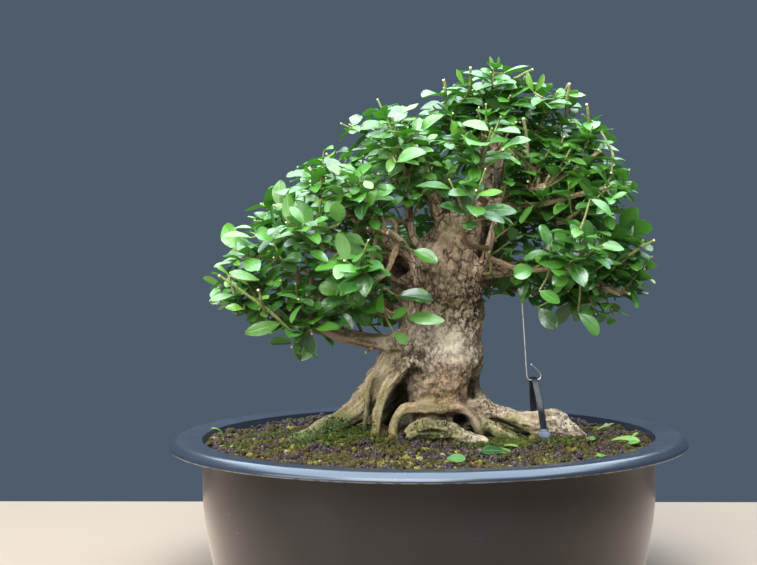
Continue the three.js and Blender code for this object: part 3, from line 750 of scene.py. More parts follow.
def path_frames(path: np.ndarray) -> tuple[np.ndarray, np.ndarray, np.ndarray]:
    """Directions along a path that don't twist.

    Args:
        path: Rows of coordinates.

    Returns:
        For each point, the direction of the path and two square to it.
    """
    forward = unit(np.gradient(path[:, :3], axis=0))
    across = np.array([0.31, -0.52, 0.8])
    firsts = []
    for direction in forward:
        across = square_to(across, direction)
        firsts.append(across)
    return forward, np.array(firsts), np.cross(forward, np.array(firsts))


def tube_faces(rings: int, sides: int) -> Faces:
    """Faces of a tube with closed ends, its rings counted right-handed about its path.

    Args:
        rings: Its cross-sections.
        sides: The points of each.

    Returns:
        The faces.
    """
    k, s = np.divmod(np.arange((rings - 1) * sides), sides)
    a, b = k * sides + s, k * sides + (s + 1) % sides
    ends = [list(range(sides))[::-1], list(range((rings - 1) * sides, rings * sides))]
    return np.stack([a, b, b + sides, a + sides], axis=1).tolist() + ends


def tube(
    path: np.ndarray, sides: int, swell: Callable[[np.ndarray, np.ndarray], np.ndarray] | None = None
) -> Form:
    """A round limb.

    Args:
        path: Rows of x, y, z and radius.
        sides: Sides of a cross-section.
        swell: A factor on the radius, from the angle and the distance along the limb.

    Returns:
        Points and faces.
    """
    _, first, second = path_frames(path)
    angle = circle(sides)[None, :]
    run = runs_along(path)[:, None]
    radius = path[:, 3:4] * (swell(angle, run) if swell else np.ones_like(angle))
    around = np.cos(angle)[..., None] * first[:, None] + np.sin(angle)[..., None] * second[:, None]
    points = path[:, None, :3] + radius[..., None] * around
    return points.reshape(-1, 3), tube_faces(len(path), sides)


def turned(profile: Sequence[tuple[float, float]], sides: int) -> Form:
    """A turned solid.

    Args:
        profile: Radius and height, starting and ending near the axis.
        sides: Sides of the circle.

    Returns:
        Points and faces.
    """
    rows = np.asarray(profile, float)
    angle = circle(sides)
    ring = np.stack([np.cos(angle), np.sin(angle)], axis=1)
    points = np.concatenate(
        [np.concatenate([ring * radius, np.full((sides, 1), height)], axis=1) for radius, height in rows]
    )
    return points, [face[::-1] for face in tube_faces(len(rows), sides)][::-1]


def rounded(points: Sequence[tuple[float, float]], step: float) -> list[tuple[float, float]]:
    """A smooth profile through points."""
    return [tuple(row) for row in spline(points, step)]


def rough(point: np.ndarray, size: float, octaves: int = 3) -> float:
    """Noise at a point, round 0, with features of a size in millimetres."""
    return noise.fractal(Vector(point) / size, 1.0, 2.0, octaves)


def near(points: np.ndarray, centre: Sequence[float], reach: float) -> np.ndarray:
    """How near points lie to a centre: 1 there, 0 past the reach."""
    gap = np.linalg.norm(points - np.array(centre), axis=1) / reach
    return np.clip(1 - gap, 0, 1) ** 0.7


# The bowl and its soil


@dataclass
class Bowl:
    """The round planting bowl: a thin moulded shell, its rim rolled wide and down."""

    height: float = 100
    rim_radius: float = 190
    body_radius: float = 166
    low_radius: float = 159.5
    taper_top: float = 54
    corner: float = 9
    wall: float = 2.6
    floor: float = 3
    lip: float = 7.3
    rim_from: float = 89
    sides: int = 200
    drain_holes: int = 5
    drain_radius: float = 7
    drain_circle: float = 95

    def profile(self) -> list[tuple[float, float]]:
        """The section of the shell, from the middle of the underside round to that of the floor.

        Returns:
            Radius and height of each of its points.
        """
        inner = self.body_radius - self.wall
        rim, top, low, body = self.rim_radius, self.height, self.low_radius, self.body_radius
        base = rounded([(low - self.corner, 0), (low - 2.4, 2.6), (low, self.corner)], 1.5)
        side = rounded([(low, self.corner), (163.6, 32), (body, self.taper_top), (body, 78)], 6)
        under = rounded([
            (body, 90), (167, 94.5), (173, 96.6), (182, 96.2), (186.4, 94.6), (187.3, 93.1),
        ], 1.2)
        lip = rounded([
            (rim - 2.5, top - self.lip), (rim - 0.9, top - self.lip), (rim, top - 6.3),
            (rim - 0.8, top - 4.3), (rim - 4.4, top - 0.9), (rim - 7, top), (rim - 12, top - 0.1),
            (rim - 17, top - 0.6), (inner + 2.8, top - 0.9),
        ], 0.9)
        inside = [(inner + 2.4, top - 2.6), (inner + 0.5, top - 7.5), (inner, top - 12),
                  (inner, self.taper_top), (low - self.wall, self.corner)]
        floor = [(low - self.corner, self.floor), (20, self.floor), (0.5, self.floor)]
        return [(0.5, 0.0), (80, 0.0), *base, *side[1:], *under, *lip, *inside, *floor]

    def build(self) -> None:
        """Builds and dresses the bowl."""
        draft = Draft()
        draft.add(*turned(self.profile(), self.sides))
        shell = draft.piece("bowl_shell", [])
        drills = Draft()
        for turn in range(self.drain_holes):
            angle = 2 * math.pi * (turn + 0.5) / self.drain_holes
            x, y = self.drain_circle * math.cos(angle), self.drain_circle * math.sin(angle)
            drills.add(*tube(np.array([(x, y, -5, self.drain_radius), (x, y, 10, self.drain_radius)]), 40))
        cut(shell, drills.piece("drills", []))
        worn_line = (self.rim_radius - 1, self.height - self.lip + 1.2)
        for plastic in (BODY_PLASTIC, RIM_PLASTIC_PAINTED_REFLECTION):
            shell.data.materials.append(plastic.material(*worn_line))
        for face in shell.data.polygons:
            face.material_index = int(face.center.z > self.rim_from * MM)
        shell.data.set_sharp_from_angle(angle=math.radians(38))
        placed(shell, "bowl", "bowl")


@dataclass
class Soil:
    """Coarse volcanic soil with algae and moss: a bed, the grains that cover it and the moss."""

    radius: float = 164.3
    edge_level: float = 94.6
    mounds: Rows = (
        (-10, 0, 5, 95), (-50, -18, 7, 34), (102, -24, 2.5, 34), (-128, 62, -2.8, 44),
        (128, 70, -2.4, 44),
    )
    spacing: float = 3.25
    grain_size: tuple[float, float] = (1.2, 2.6)
    grain_seed: int = 11
    moss_seed: int = 23
    bed_sides: int = 150
    # levels of the bed's foot and of the upper edge of its side
    bed_foot: float = 20
    bed_edge: float = 90
    # moss: x, y, reach, how thick it stands
    mossy: Rows = (
        (-138, -44, 17, 0.8), (-92, -46, 24, 0.5), (-62, -38, 26, 1.4), (-84, -36, 20, 1.2),
        (-38, -48, 15, 0.6), (58, -46, 26, 1.5), (90, -40, 20, 1.2), (34, -54, 16, 1.0),
        (-118, 24, 24, 0.5), (60, 70, 36, 0.6), (-40, 90, 40, 0.6), (-128, -22, 16, 0.6),
    )
    # where there are more ochre or lava grains: x, y, reach, how many more
    ochre: Rows = ((-30, -116, 30, 0.5), (-84, -50, 20, 0.6))
    lava: Rows = ((20, -78, 36, 0.25), (50, -86, 20, 0.3), (84, -60, 14, 0.3), (-128, 8, 14, 0.3))
    faces: Faces = field(init=False)

    def __post_init__(self) -> None:
        """Finds the triangles of a grain as the nearest triples of its corners."""
        shape = self.ball()
        self.faces = []
        for i in range(12):
            for j in range(i + 1, 12):
                for k in range(j + 1, 12):
                    sides = [np.linalg.norm(shape[a] - shape[b]) for a, b in ((i, j), (j, k), (k, i))]
                    if max(sides) < 1.2:
                        outward = np.cross(shape[j] - shape[i], shape[k] - shape[i]) @ shape[i]
                        self.faces.append([i, j, k] if outward > 0 else [i, k, j])

    @staticmethod
    def ball() -> np.ndarray:
        """A regular solid of radius 1.

        Returns:
            Its twelve corners.
        """
        golden = (1 + 5**0.5) / 2
        corners = [(0, a, b * golden) for a in (-1, 1) for b in (-1, 1)]
        places = [np.roll(corner, turn) for turn in range(3) for corner in corners]
        return np.array(places) / math.hypot(1, golden)

    def level(self, x: np.ndarray, y: np.ndarray) -> np.ndarray:
        """Height of the bed at places.

        Args:
            x: The places' first coordinates.
            y: Their second coordinates.

        Returns:
            Their heights.
        """
        height = np.full(np.shape(x), self.edge_level)
        for mound_x, mound_y, rise, spread in self.mounds:
            height = height + rise * np.exp(-((x - mound_x) ** 2 + (y - mound_y) ** 2) / spread**2)
        return height

    def bed(self) -> None:
        """The bed under the grains."""
        rings = np.linspace(self.radius, 1, 48)
        sides = self.bed_sides
        angle = circle(sides)
        radius = np.concatenate([[1, self.radius - 8, self.radius - 1.6], rings])
        x, y = np.outer(radius, np.cos(angle)), np.outer(radius, np.sin(angle))
        points = np.stack([x, y, np.zeros_like(x)], axis=2).reshape(-1, 3)
        points[:, 2] = self.level(points[:, 0], points[:, 1])
        points[: 2 * sides, 2] = self.bed_foot
        points[2 * sides : 3 * sides, 2] = self.bed_edge
        for point in points[3 * sides :]:
            point[2] += 0.7 * rough(point, 5)
        draft = Draft("tone")
        draft.add(points, [face[::-1] for face in tube_faces(len(radius), sides)], tone=0.2)
        placed(draft.piece("soil_bed", [Grit.BROWN.material()]), "soil", "soil")

    @staticmethod
    def more(places: Iterable[Row], x: float, y: float) -> float:
        """How many more grains of a kind there are at a place."""
        return sum(rise * math.exp(-((x - at_x) ** 2 + (y - at_y) ** 2) / reach**2)
                   for at_x, at_y, reach, rise in places)

    def kind(self, x: float, y: float, draw: float) -> Grit:
        """The kind of grain at a place: they lie in patches, and are green where moss grows.

        Args:
            x: The place.
            y: The place.
            draw: A number from 0 to 1 that varies it.

        Returns:
            The kind.
        """
        green = max(thick * (1 - math.hypot(x - moss_x, y - moss_y) / reach)
                    for moss_x, moss_y, reach, thick in self.mossy)
        if green > 0.15 + 0.8 * draw:
            return Grit.GREEN
        if draw > 0.988:
            return Grit.PALE
        patch = rough((x, y, 3.0), 22, 3) + 0.3 * (draw - 0.5)
        patch += self.more(self.lava, x, y)
        if patch > 0.17:
            return Grit.LAVA
        if rough((x, y, 60.0), 9, 2) + self.more(self.ochre, x, y) > 0.5:
            return Grit.OCHRE
        return Grit.OLIVE if draw > 0.45 + patch else Grit.BROWN

    def grains(self, is_clear: Callable[[np.ndarray], np.ndarray]) -> None:
        """The grains that cover the bed, single and in crumbs.

        Args:
            is_clear: Says of points whether they lie outside the roots.
        """
        draws = np.random.default_rng(self.grain_seed)
        kinds = list(Grit)
        draft = Draft("tone")
        steps = np.arange(-self.radius, self.radius, self.spacing)
        x, y = (side.ravel() for side in np.meshgrid(steps, steps))
        x, y = x + draws.uniform(-1.4, 1.4, x.shape), y + draws.uniform(-1.4, 1.4, x.shape)
        size = draws.uniform(*self.grain_size, x.shape) * draws.choice([0.7, 1, 1, 1.35], x.shape)
        clump = np.array([rough((a, b, 40.0), 14, 2) for a, b in zip(x, y)])
        z = self.level(x, y) + size * draws.uniform(-0.1, 0.7, x.shape) + 2.2 * np.clip(clump, -0.2, 0.7)
        keep = np.hypot(x, y) < self.radius - 1.2 * size
        keep &= is_clear(np.stack([x, y, z + size * 0.6], axis=1))
        ball = self.ball()
        for gx, gy, gz, radius in zip(x[keep], y[keep], z[keep], size[keep]):
            turn = Matrix.Rotation(draws.uniform(0, 6.28), 3, Vector(draws.normal(size=3)))
            shape = ball * draws.uniform(0.62, 1.25, (12, 1)) * draws.uniform(0.75, 1.2, 3)
            points = shape @ np.array(turn) * radius + (gx, gy, gz)
            draft.add(points, self.faces, kinds.index(self.kind(gx, gy, draws.random())), tone=draws.random())
        placed(draft.piece("soil_grains", [kind.material() for kind in kinds]), "soil")

    def moss(self, is_clear: Callable[[np.ndarray], np.ndarray], on_wood: np.ndarray) -> None:
        """Tufts of short moss leaves on the soil and the roots.

        Args:
            is_clear: Says of points whether they lie outside the roots.
            on_wood: Places and directions on the roots where moss grows.
        """
        draws = np.random.default_rng(self.moss_seed)
        draft = Draft("along", "tone")
        for moss_x, moss_y, reach, thick in self.mossy:
            count = int(reach * reach * thick * 1.3)
            radius = reach * np.sqrt(draws.random(count)) * draws.uniform(0.4, 1, count)
            angle = draws.uniform(0, 2 * math.pi, count)
            x, y = moss_x + radius * np.cos(angle), moss_y + radius * np.sin(angle)
            foot = np.stack([x, y, self.level(x, y) + draws.uniform(0.5, 2.6, count)], axis=1)
            patchy = np.array([rough(place, 7, 2) for place in foot]) > -0.08
            keep = (np.hypot(x, y) < self.radius - 3) & is_clear(foot + (0, 0, 1.5)) & patchy
            for place in foot[keep]:
                self.sprig(draft, place, UP, draws)
        for row in on_wood:
            self.sprig(draft, row[:3], row[3:], draws)
        placed(draft.piece("moss_tufts", [Tuft().material()]), "soil")

    @staticmethod
    def sprig(draft: Draft, foot: np.ndarray, up: np.ndarray, draws: Draws) -> None:
        """Adds one sprig: three slim three-sided leaves from one foot.

        Args:
            draft: Where it is added.
            foot: Its foot.
            up: The direction that it grows in.
            draws: The stream that varies it.
        """
        tone = draws.random()
        for _ in range(3):
            lean = unit(up + draws.normal(0, 0.5, 3))
            tip = foot + lean * draws.uniform(1.0, 2.6)
            side = unit(np.cross(lean, draws.normal(size=3)))
            third = np.cross(lean, side)
            ring = [foot + 0.36 * swung(side, third, angle) for angle in (0, 2.094, 4.189)]
            draft.add(np.array([*ring, tip]), [[0, 2, 1], [0, 1, 3], [1, 2, 3], [2, 0, 3]],
                      along=[0, 0, 0, 1], tone=tone)


# The tree's wood


class Limb(Enum):
    """What a limb is, which sets its bark."""

    TRUNK = 0
    ROOT = 1
    BRANCH = 2


@dataclass
class Wood:
    """Trunk, roots and branches, grown as one piece, with its thin side branches."""

    voxel: float = 1.3
    first_voxel: float = 1.5
    moss_seed: int = 5
    column_sides: int = 96
    # height from which the bark breaks into plates, and over which it comes to do so
    cracks_from: float = 198
    cracks_over: float = 16
    # height, middle x, middle y, half width, half depth
    column: tuple[tuple[float, ...], ...] = (
        (76, 6, 2, 28, 26), (100, 7, 0, 23.5, 23), (116, 7.5, -1, 22.5, 24), (129, 7.5, -2, 22.5, 25.5),
        (139, 8, -2, 24.5, 27), (147, 8.5, -2, 29.5, 28), (154, 7.5, -2, 32.5, 29),
        (166, 7.5, -2, 32, 28.5),
        (181, 12, -2, 29.5, 27.5), (196, 12.5, -1, 30, 28), (208, 9.5, -1, 33, 29.5), (219, 6, 0, 36, 31),
        (229, 6.5, 0, 35.5, 30.5), (238, 14, -1, 28.5, 26.5), (247, 23, -2, 21.5, 22.5),
        (260, 28, -3.5, 17.5, 19),
        (272, 36.5, -4.5, 13, 14.5), (284, 43.5, -6, 9, 10.5), (292, 46.5, -7, 7, 8),
    )
    # flutes: how many round it, how deep, phase and turn per mm of height
    flutes: tuple[tuple[float, ...], ...] = (
        (3, 0.045, 0.4, 0.012), (5, 0.05, 1.3, -0.016), (9, 0.028, 2.1, 0.022),
    )
    roots: tuple[Rows, ...] = (
        ((-14, -5, 168, 13), (-24, -7, 153, 12.5), (-36, -10, 137, 10.5), (-51, -13, 121.5, 9.2),
         (-72, -17, 108, 8),
         (-92, -21, 98, 6.8), (-112, -26, 89, 5), (-128, -31, 81, 2.6)),
        ((-37, -18, 147, 3.6), (-42.5, -23, 141.5, 3.2), (-45, -26, 124, 2.3), (-47, -28, 108, 2.4),
         (-48, -29, 92, 1.9)),
        ((2, -18, 166, 8), (-13, -26, 156, 6), (-28, -30, 142, 5), (-35.5, -32, 126, 4.2),
         (-38.3, -33, 110, 3.8),
         (-40, -34.5, 88, 3)),
        ((-6, 10, 148, 15), (-24, 26, 122, 12.5), (-42, 42, 104, 9.5), (-60, 56, 92, 6.5),
         (-76, 66, 82, 3)),
        ((6, -12, 106, 12), (1, -28, 107, 8), (-2, -36, 107, 6)),
        ((8, -6, 112, 13), (24, -9, 114, 11), (39, -10, 119.5, 7.6), (52, -11, 116, 6),
         (66, -12, 110.8, 6.4),
         (80, -13, 108.8, 9), (92, -14, 108, 9.6), (103, -15, 103.5, 7.8), (113, -16, 97, 5),
         (122, -17, 88, 2.6)),
        ((33, -4, 149, 6), (34.5, -4, 140, 3.6), (37.5, -5, 130, 3.6), (45, -9, 119, 5)),
        ((33, -12, 111, 6), (41, -21, 110, 4.6), (51, -25, 105, 4.6), (63, -27, 99.5, 4.2),
         (76, -29, 92, 2.6)),
        ((16, 8, 134, 16), (36, 26, 112, 12), (56, 42, 99, 8.5), (74, 54, 90, 5.5), (88, 62, 81, 2.6)),
        ((2, 14, 134, 14), (-2, 36, 110, 11), (-6, 56, 97, 7.5), (-10, 74, 87, 4), (-12, 84, 80, 2)),
    )
    arch: Rows = (
        (-21, -32, 90, 3), (-26, -32, 106, 3.3), (-24, -31, 116, 3.5), (-17.5, -29, 122.5, 3.8),
        (-6, -27, 123, 4),
        (8, -26.5, 122, 4.6), (20, -26, 122.5, 4.2), (29, -25, 118.5, 3.8), (35, -25, 110, 3.6),
        (40, -26, 92, 2.6),
    )
    log: Rows = (
        (-15, -34, 104, 6), (-5, -37, 108.5, 7.6), (9, -39.5, 107.5, 7), (22, -41, 103.8, 5.6),
        (33, -42, 101, 4.6),
        (42, -43, 98.5, 3),
    )
    knots: tuple[Rows, ...] = (
        ((22, -4, 153, 12), (32, -5, 153, 11), (38.5, -6, 153, 6)),
        ((-12, -12, 172, 9), (-27, -19, 169, 6.5), (-33, -21, 168, 4.5)),
        ((44, -8, 268, 8), (44, -18, 279, 7.5), (46, -24, 288, 6), (49, -25, 294, 3)),
        ((14, -14, 236, 12), (6, -20, 243, 7)),
    )
    arch_gap: Rows = ((25, -34, 111, 5), (24, -24, 111, 6.5), (20, -6, 111, 5))
    hollow_mouth: Point = (-21, -22, 227)
    hollow_axis: Point = (-0.5, -0.85, 0.05)
    hollow_depth: float = 17
    branches: tuple[Rows, ...] = (
        ((-8, -8, 172, 9), (-28, -12, 169, 6.4), (-58, -17, 174, 5.2), (-92, -25, 185, 3.8),
         (-124, -32, 201, 2.5)),
        ((0, -20, 203, 5.5), (-7, -30, 211, 3.7), (-8.5, -33, 220, 3.2), (-13.5, -35, 232, 3.2),
         (-25, -37, 241, 3.5),
         (-42, -41, 253, 3.4), (-60, -45, 267, 3), (-76, -49, 276, 2.5)),
        ((0, 8, 214, 10), (-22, 22, 228, 6.4), (-58, 40, 242, 4.6), (-96, 54, 252, 2.8)),
        ((2, -14, 226, 6), (-11, -24, 247, 3.4), (-15, -29, 270, 2.7), (-24, -32, 288, 2.3)),
        ((16, -6, 236, 9), (10, -12, 258, 5.6), (0, -15, 285, 4.2), (-30, -13, 318, 2.6)),
        ((11, -12, 256, 5), (28, -20, 266, 3.4), (54, -30, 273, 2.5)),
        ((24, 4, 250, 10), (10, 18, 272, 5.8), (-28, 38, 308, 3)),
        ((44, -6, 280, 8.5), (51, -7, 298, 6.6), (53, -5, 322, 4.6), (51, -4, 332, 3.2)),
        ((34, -4, 256, 10), (50, -9, 262, 6.4), (92, -16, 265, 4.5), (128, -21, 280, 2.6)),
        ((30, 0, 222, 12), (52, -4, 221.5, 6.2), (84, -9, 223, 4.7), (114, -16, 214, 3.5),
         (140, -21, 204, 2.5)),
        ((48, -5, 316, 5.5), (62, -11, 305, 4.2), (84, -19, 289, 3.4), (112, -25, 297, 2.5)),
        ((30, 6, 242, 11), (52, 22, 250, 6.4), (76, 40, 256, 4.5), (96, 49, 258, 2.8)),
        ((20, 8, 236, 12), (19, 32, 246, 6.8), (8, 76, 260, 3.4)),
        ((14, 10, 204, 11), (28, 32, 209, 6), (58, 74, 208, 3)),
        ((46, -2, 300, 6), (42, 16, 312, 4.2), (38, 26, 318, 2.9)),
        ((50, -3, 318, 5), (70, 10, 324, 3.8), (88, 22, 326, 2.7)),
        ((32, -16, 214, 6), (42, -26, 232, 3.5), (48, -29, 256, 2.8), (53, -32, 274, 2.3)),
        ((46, -8, 288, 6), (42, -30, 302, 3.9), (36, -50, 312, 2.7)),
        ((42, -6, 272, 7), (64, -26, 280, 4), (84, -46, 282, 2.7)),
        ((-14, -32, 234, 4.4), (-20, -50, 244, 3.4), (-30, -68, 252, 2.5)),
        ((-2, 8, 186, 11), (-28, 22, 190, 5.6), (-84, 42, 202, 3.2)),
    )
    # places where the bark differs, by the value that they raise: x, y, z, reach, strength
    marks: dict[str, tuple[Mark, ...]] = field(default_factory=lambda: {
        "pale": (
            (13, -30, 168, 31, 1), (32, -20, 172, 20, 0.5), (45, -26, 285, 22, 0.45),
            (-33, -22, 168, 7, 1), (16, -48, 108, 22, 0.5), (34, -46, 101, 14, 0.6),
            (98, -22, 112, 26, 0.6), (66, -20, 114, 20, 0.25), (-74, -26, 114, 30, 0.4),
        ),
        "moss": (
            (2, -46, 102, 30, 0.9), (3, -32, 123, 20, 0.6), (-8, -44, 99, 18, 1),
            (-24, -22, 150, 24, 0.4), (14, -30, 193, 30, 0.4), (-64, -40, 97, 35, 2.0),
            (44, -26, 106, 14, 0.8), (-98, -40, 90, 34, 2.0), (-42, -36, 98, 14, 1.2),
            (62, -34, 94, 24, 1), (40, -26, 96, 18, 0.9), (60, -20, 99, 20, 1.3),
            (-38, -30, 128, 28, 0.6),
        ),
        # painted shade: near black in the hollows under the roots and the arch, behind the strand, in pits
        # and cracks, and weaker where the crown shades the trunk
        "shade": (
            (-13, -28, 166, 5, 1), (-13.5, -28, 162, 4, 0.9), (-5, -31, 162, 6, 0.9),
            (-9, -30, 147, 9, 1), (-12, -28, 138, 8, 0.8), (4, -31, 138.5, 5, 0.9),
            (14, -32, 150, 6, 0.6), (-1, -32, 173.5, 3, 0.9), (2, -32, 171, 3, 0.9),
            (5, -32, 168.5, 3, 0.9), (-30, -24, 143, 6, 0.8), (34, -6, 136, 11, 1), (-22, -4, 124, 24, 1),
            (-28, 12, 116, 34, 1), (-22, -10, 104, 20, 1), (-34, 4, 138, 16, 1), (24, -16, 111, 19, 1),
            (10, -20, 114, 12, 1), (-18, -12, 223, 15, 1), (38, 22, 120, 22, 1), (44, -24, 116, 6, 0.7),
            (-40.5, -26, 124, 8, 0.8), (-42, -28, 112, 7, 0.8), (56, -26, 110, 6, 0.7),
            (40, -30, 100, 8, 0.6), (33, -30, 104, 9, 0.8), (32, -24, 192, 26, 0.42),
            (10, -30, 200, 24, 0.34),
        ),
        "pits": (
            (-10, -30, 156, 26, 1), (10, -30, 140, 30, 0.8), (34, -20, 146, 24, 0.8),
            (30, -22, 193, 34, 1.2), (104, -22, 112, 24, 1), (6, -28, 196, 34, 0.9),
            (-54, -24, 120, 34, 0.5), (48, -12, 122, 22, 0.6), (10, -44, 106, 30, 0.9),
        ),
        "rust": (
            (17, -30, 136, 26, 0.8), (-24, -34, 112, 16, 0.4), (26, -30, 121, 16, 0.6),
            (-14, -32, 123, 11, 0.8),
        ),
    })
    samples: np.ndarray = field(init=False)
    kinds: np.ndarray = field(init=False)
    runs: np.ndarray = field(init=False)
    firsts: np.ndarray = field(init=False)
    seconds: np.ndarray = field(init=False)
    mossy: np.ndarray = field(init=False)

    def __post_init__(self) -> None:
        """Samples every limb's middle line: place, radius and kind, for what asks where the wood is."""
        limbs = [(limb, Limb.ROOT) for limb in (*self.roots, self.arch, self.log)]
        limbs += [(limb, Limb.BRANCH) for limb in self.branches]
        limbs += [(knot, Limb.TRUNK) for knot in self.knots]
        rows = [(spline(limb, 3), kind) for limb, kind in limbs]
        levels = spline([(x, y, z, (wide + deep) / 2) for z, x, y, wide, deep in self.column], 3)
        rows.append((levels, Limb.TRUNK))
        self.samples = np.vstack([row for row, _ in rows])
        self.kinds = np.concatenate([np.full(len(row), kind.value) for row, kind in rows])
        self.runs = np.concatenate([runs_along(row) for row, _ in rows])
        frames = [path_frames(row) for row, _ in rows]
        self.firsts = np.vstack([frame[1] for frame in frames])
        self.seconds = np.vstack([frame[2] for frame in frames])

    def nearest(self, points: np.ndarray) -> tuple[np.ndarray, np.ndarray]:
        """The limb that lies nearest to each point.

        Args:
            points: Rows of coordinates.

        Returns:
            The number of the nearest sample, and the point's distance from its surface.
        """
        indices, gaps = [], []
        for block in np.array_split(points, max(1, len(points) // 4000)):
            gap = np.linalg.norm(block[:, None] - self.samples[None, :, :3], axis=2) - self.samples[:, 3]
            best = gap.argmin(axis=1)
            indices.append(best)
            gaps.append(gap[np.arange(len(block)), best])
        return np.concatenate(indices), np.concatenate(gaps)

    def is_clear(self, points: np.ndarray) -> np.ndarray:
        """Whether points lie outside the wood."""
        return self.nearest(points)[1] > -0.5

    def column_form(self) -> Form:
        """The fluted column.

        Returns:
            Points and faces.
        """
        levels = spline([(x, y, z, wide, deep) for z, x, y, wide, deep in self.column], 2.5)
        angle = circle(self.column_sides)[None, :]
        height = levels[:, 2:3]
        swell = sum(deep * np.cos(count * angle + phase + turn * height)
                    for count, deep, phase, turn in self.flutes)
        x = levels[:, :1] + levels[:, 3:4] * (1 + swell) * np.cos(angle)
        y = levels[:, 1:2] + levels[:, 4:5] * (1 + swell) * np.sin(angle)
        points = np.stack([x, y, np.broadcast_to(height, x.shape)], axis=2).reshape(-1, 3)
        return points, tube_faces(len(levels), self.column_sides)

    @staticmethod
    def ridged(seed: float, deep: float) -> Callable[[np.ndarray, np.ndarray], np.ndarray]:
        """A swell of ridges that wind along a limb.

        Args:
            seed: Shifts the ridges.
            deep: Their depth as a share of the radius.

        Returns:
            The swell.
        """
        def swell(angle: np.ndarray, run: np.ndarray) -> np.ndarray:
            """The factor on the radius."""
            wave = np.cos(4 * angle + seed + run * 0.05) + 0.7 * np.cos(7 * angle - 2 * seed - run * 0.06)
            return 1 + deep * wave + 0.5 * deep * np.sin(run * 0.21 + seed * 3)
        return swell

    def body(self) -> Piece:
        """The trunk, roots and branches in one skin, before its bark.

        Returns:
            The piece.
        """
        column = Draft()
        column.add(*self.column_form())
        base = column.piece("trunk_wood", [])
        limbs = Draft()
        for seed, limb in enumerate((*self.roots, self.arch, self.log, *self.knots)):
            limbs.add(*tube(spline(limb, 2.5), 24, self.ridged(seed, 0.12 if limb is self.log else 0.075)))
        mouth, axis = np.array(self.hollow_mouth), unit(np.array(self.hollow_axis))
        side = unit(np.cross(axis, UP))
        third = np.cross(side, axis)
        lip = []
        for angle in np.linspace(0, 2 * math.pi, 40):
            place = mouth + (11.6 + 0.8 * math.sin(2 * angle)) * swung(side, third, angle)
            lip.append([*place, 2.9 + 0.4 * math.sin(3 * angle + 1)])
        limbs.add(*tube(np.array(lip), 12))
        self._join(base, limbs.piece("limbs", []))
        changed(base, "REMESH", mode="VOXEL", voxel_size=self.first_voxel * MM)
        pit = Draft()
        hollow = [[*(mouth + 14 * axis), 11], [*mouth, 10], [*(mouth - 9 * axis), 8.6],
                  [*(mouth - self.hollow_depth * axis), 4.4]]
        pit.add(*tube(spline(hollow, 2), 28, self.ridged(2.0, 0.05)))
        pit.add(*tube(spline(self.arch_gap, 3), 20))
        cut(base, pit.piece("pits", []))
        arms = Draft()
        for seed, branch in enumerate(self.branches):
            arms.add(*tube(spline(branch, 2.5), 20, self.ridged(seed + 20.0, 0.035)))
        self._join(base, arms.piece("arms", []))
        changed(base, "REMESH", mode="VOXEL", voxel_size=self.voxel * MM)
        changed(base, "SMOOTH", factor=0.5, iterations=3)
        return base

    @staticmethod
    def _join(base: Piece, other: Piece) -> None:
        """Joins another object's mesh into a piece, and deletes the other."""
        with bpy.context.temp_override(active_object=base, selected_editable_objects=[base, other]):
            bpy.ops.object.join()

    def bark(self, base: Piece) -> None:
        """Gives the wood its relief and the values that its colours are mixed by.

        Args:
            base: The wood's skin.
        """
        mesh = base.data
        flat = np.zeros(len(mesh.vertices) * 3)
        mesh.vertices.foreach_get("co", flat)
        points = flat.reshape(-1, 3) / MM
        normals = np.array([normal.vector for normal in mesh.vertex_normals])
        sample, _ = self.nearest(points)
        kind, radius, run = self.kinds[sample], self.samples[sample, 3], self.runs[sample]
        offset = points - self.samples[sample, :3]
        u = (offset * self.firsts[sample]).sum(axis=1)
        v = (offset * self.seconds[sample]).sum(axis=1)
        is_root, is_trunk = kind == Limb.ROOT.value, kind == Limb.TRUNK.value
        is_branch = (kind == Limb.BRANCH.value) & (radius < 9)
        is_log = np.linalg.norm((points - (12, -42, 105)) / (30, 14, 10), axis=1) < 1
        values = {"branch": is_branch * np.clip((9.5 - radius) / 3, 0, 1)}
        for name in ("moss", "pale", "rust", "shade", "pits", "fibre"):
            values[name] = np.zeros(len(points))
        values["moss"] += is_root * (points[:, 0] < 16) * np.clip((150 - points[:, 2]) / 70, 0, 0.5)
        for name, marks in self.marks.items():
            for *centre, reach, strength in marks:
                values[name] = np.maximum(values[name], near(points, centre, reach) * strength)
        scale = np.clip(radius / 8, 0.3, 1)
        grooves = np.where(is_log, 3.6, np.where(is_root, 1.3, 0.9))
        lumpy = np.where(is_branch, 0.25, 1)
        high = np.clip((points[:, 2] - self.cracks_from) / self.cracks_over, 0, 1) * ~is_branch
        lift = np.zeros(len(points))
        for i, point in enumerate(points):
            at = Vector(point)
            lumps = 1.25 * noise.noise(at / 14) + 0.85 * noise.noise(at / 6.5)
            if is_trunk[i]:
                fibre = noise.fractal(at / 4.4, 1.0, 2.0, 2)
            else:
                fibre = noise.fractal(Vector((u[i] / 2.3, v[i] / 2.3, run[i] / 22)), 1.0, 2.0, 2)
            fine = noise.noise(at / 3.1)
            values["fibre"][i] = 0.5 + fibre * (1 if is_trunk[i] else 1.5)
            lift[i] = scale[i] * (grooves[i] * fibre + 1.7 * lumps * lumpy[i])
            lift[i] = (lift[i] + 0.45 * fine * scale[i]) * (1 - 0.5 * min(values["pale"][i], 1.0))
            if values["pits"][i] > 0.1:
                lift[i] -= 3.0 * values["pits"][i] * max(0.0, -noise.noise(at / 3.8) - 0.08)
            if high[i] > 0:
                warped = Vector((point[0], point[1], point[2] * 0.62)) / 6.6
                warped += Vector((lumps, fine, lumps)) * 0.35
                gaps = noise.voronoi(warped)[0]
                lift[i] -= 1.1 * high[i] * max(0.0, 1 - (gaps[1] - gaps[0]) / 0.18)
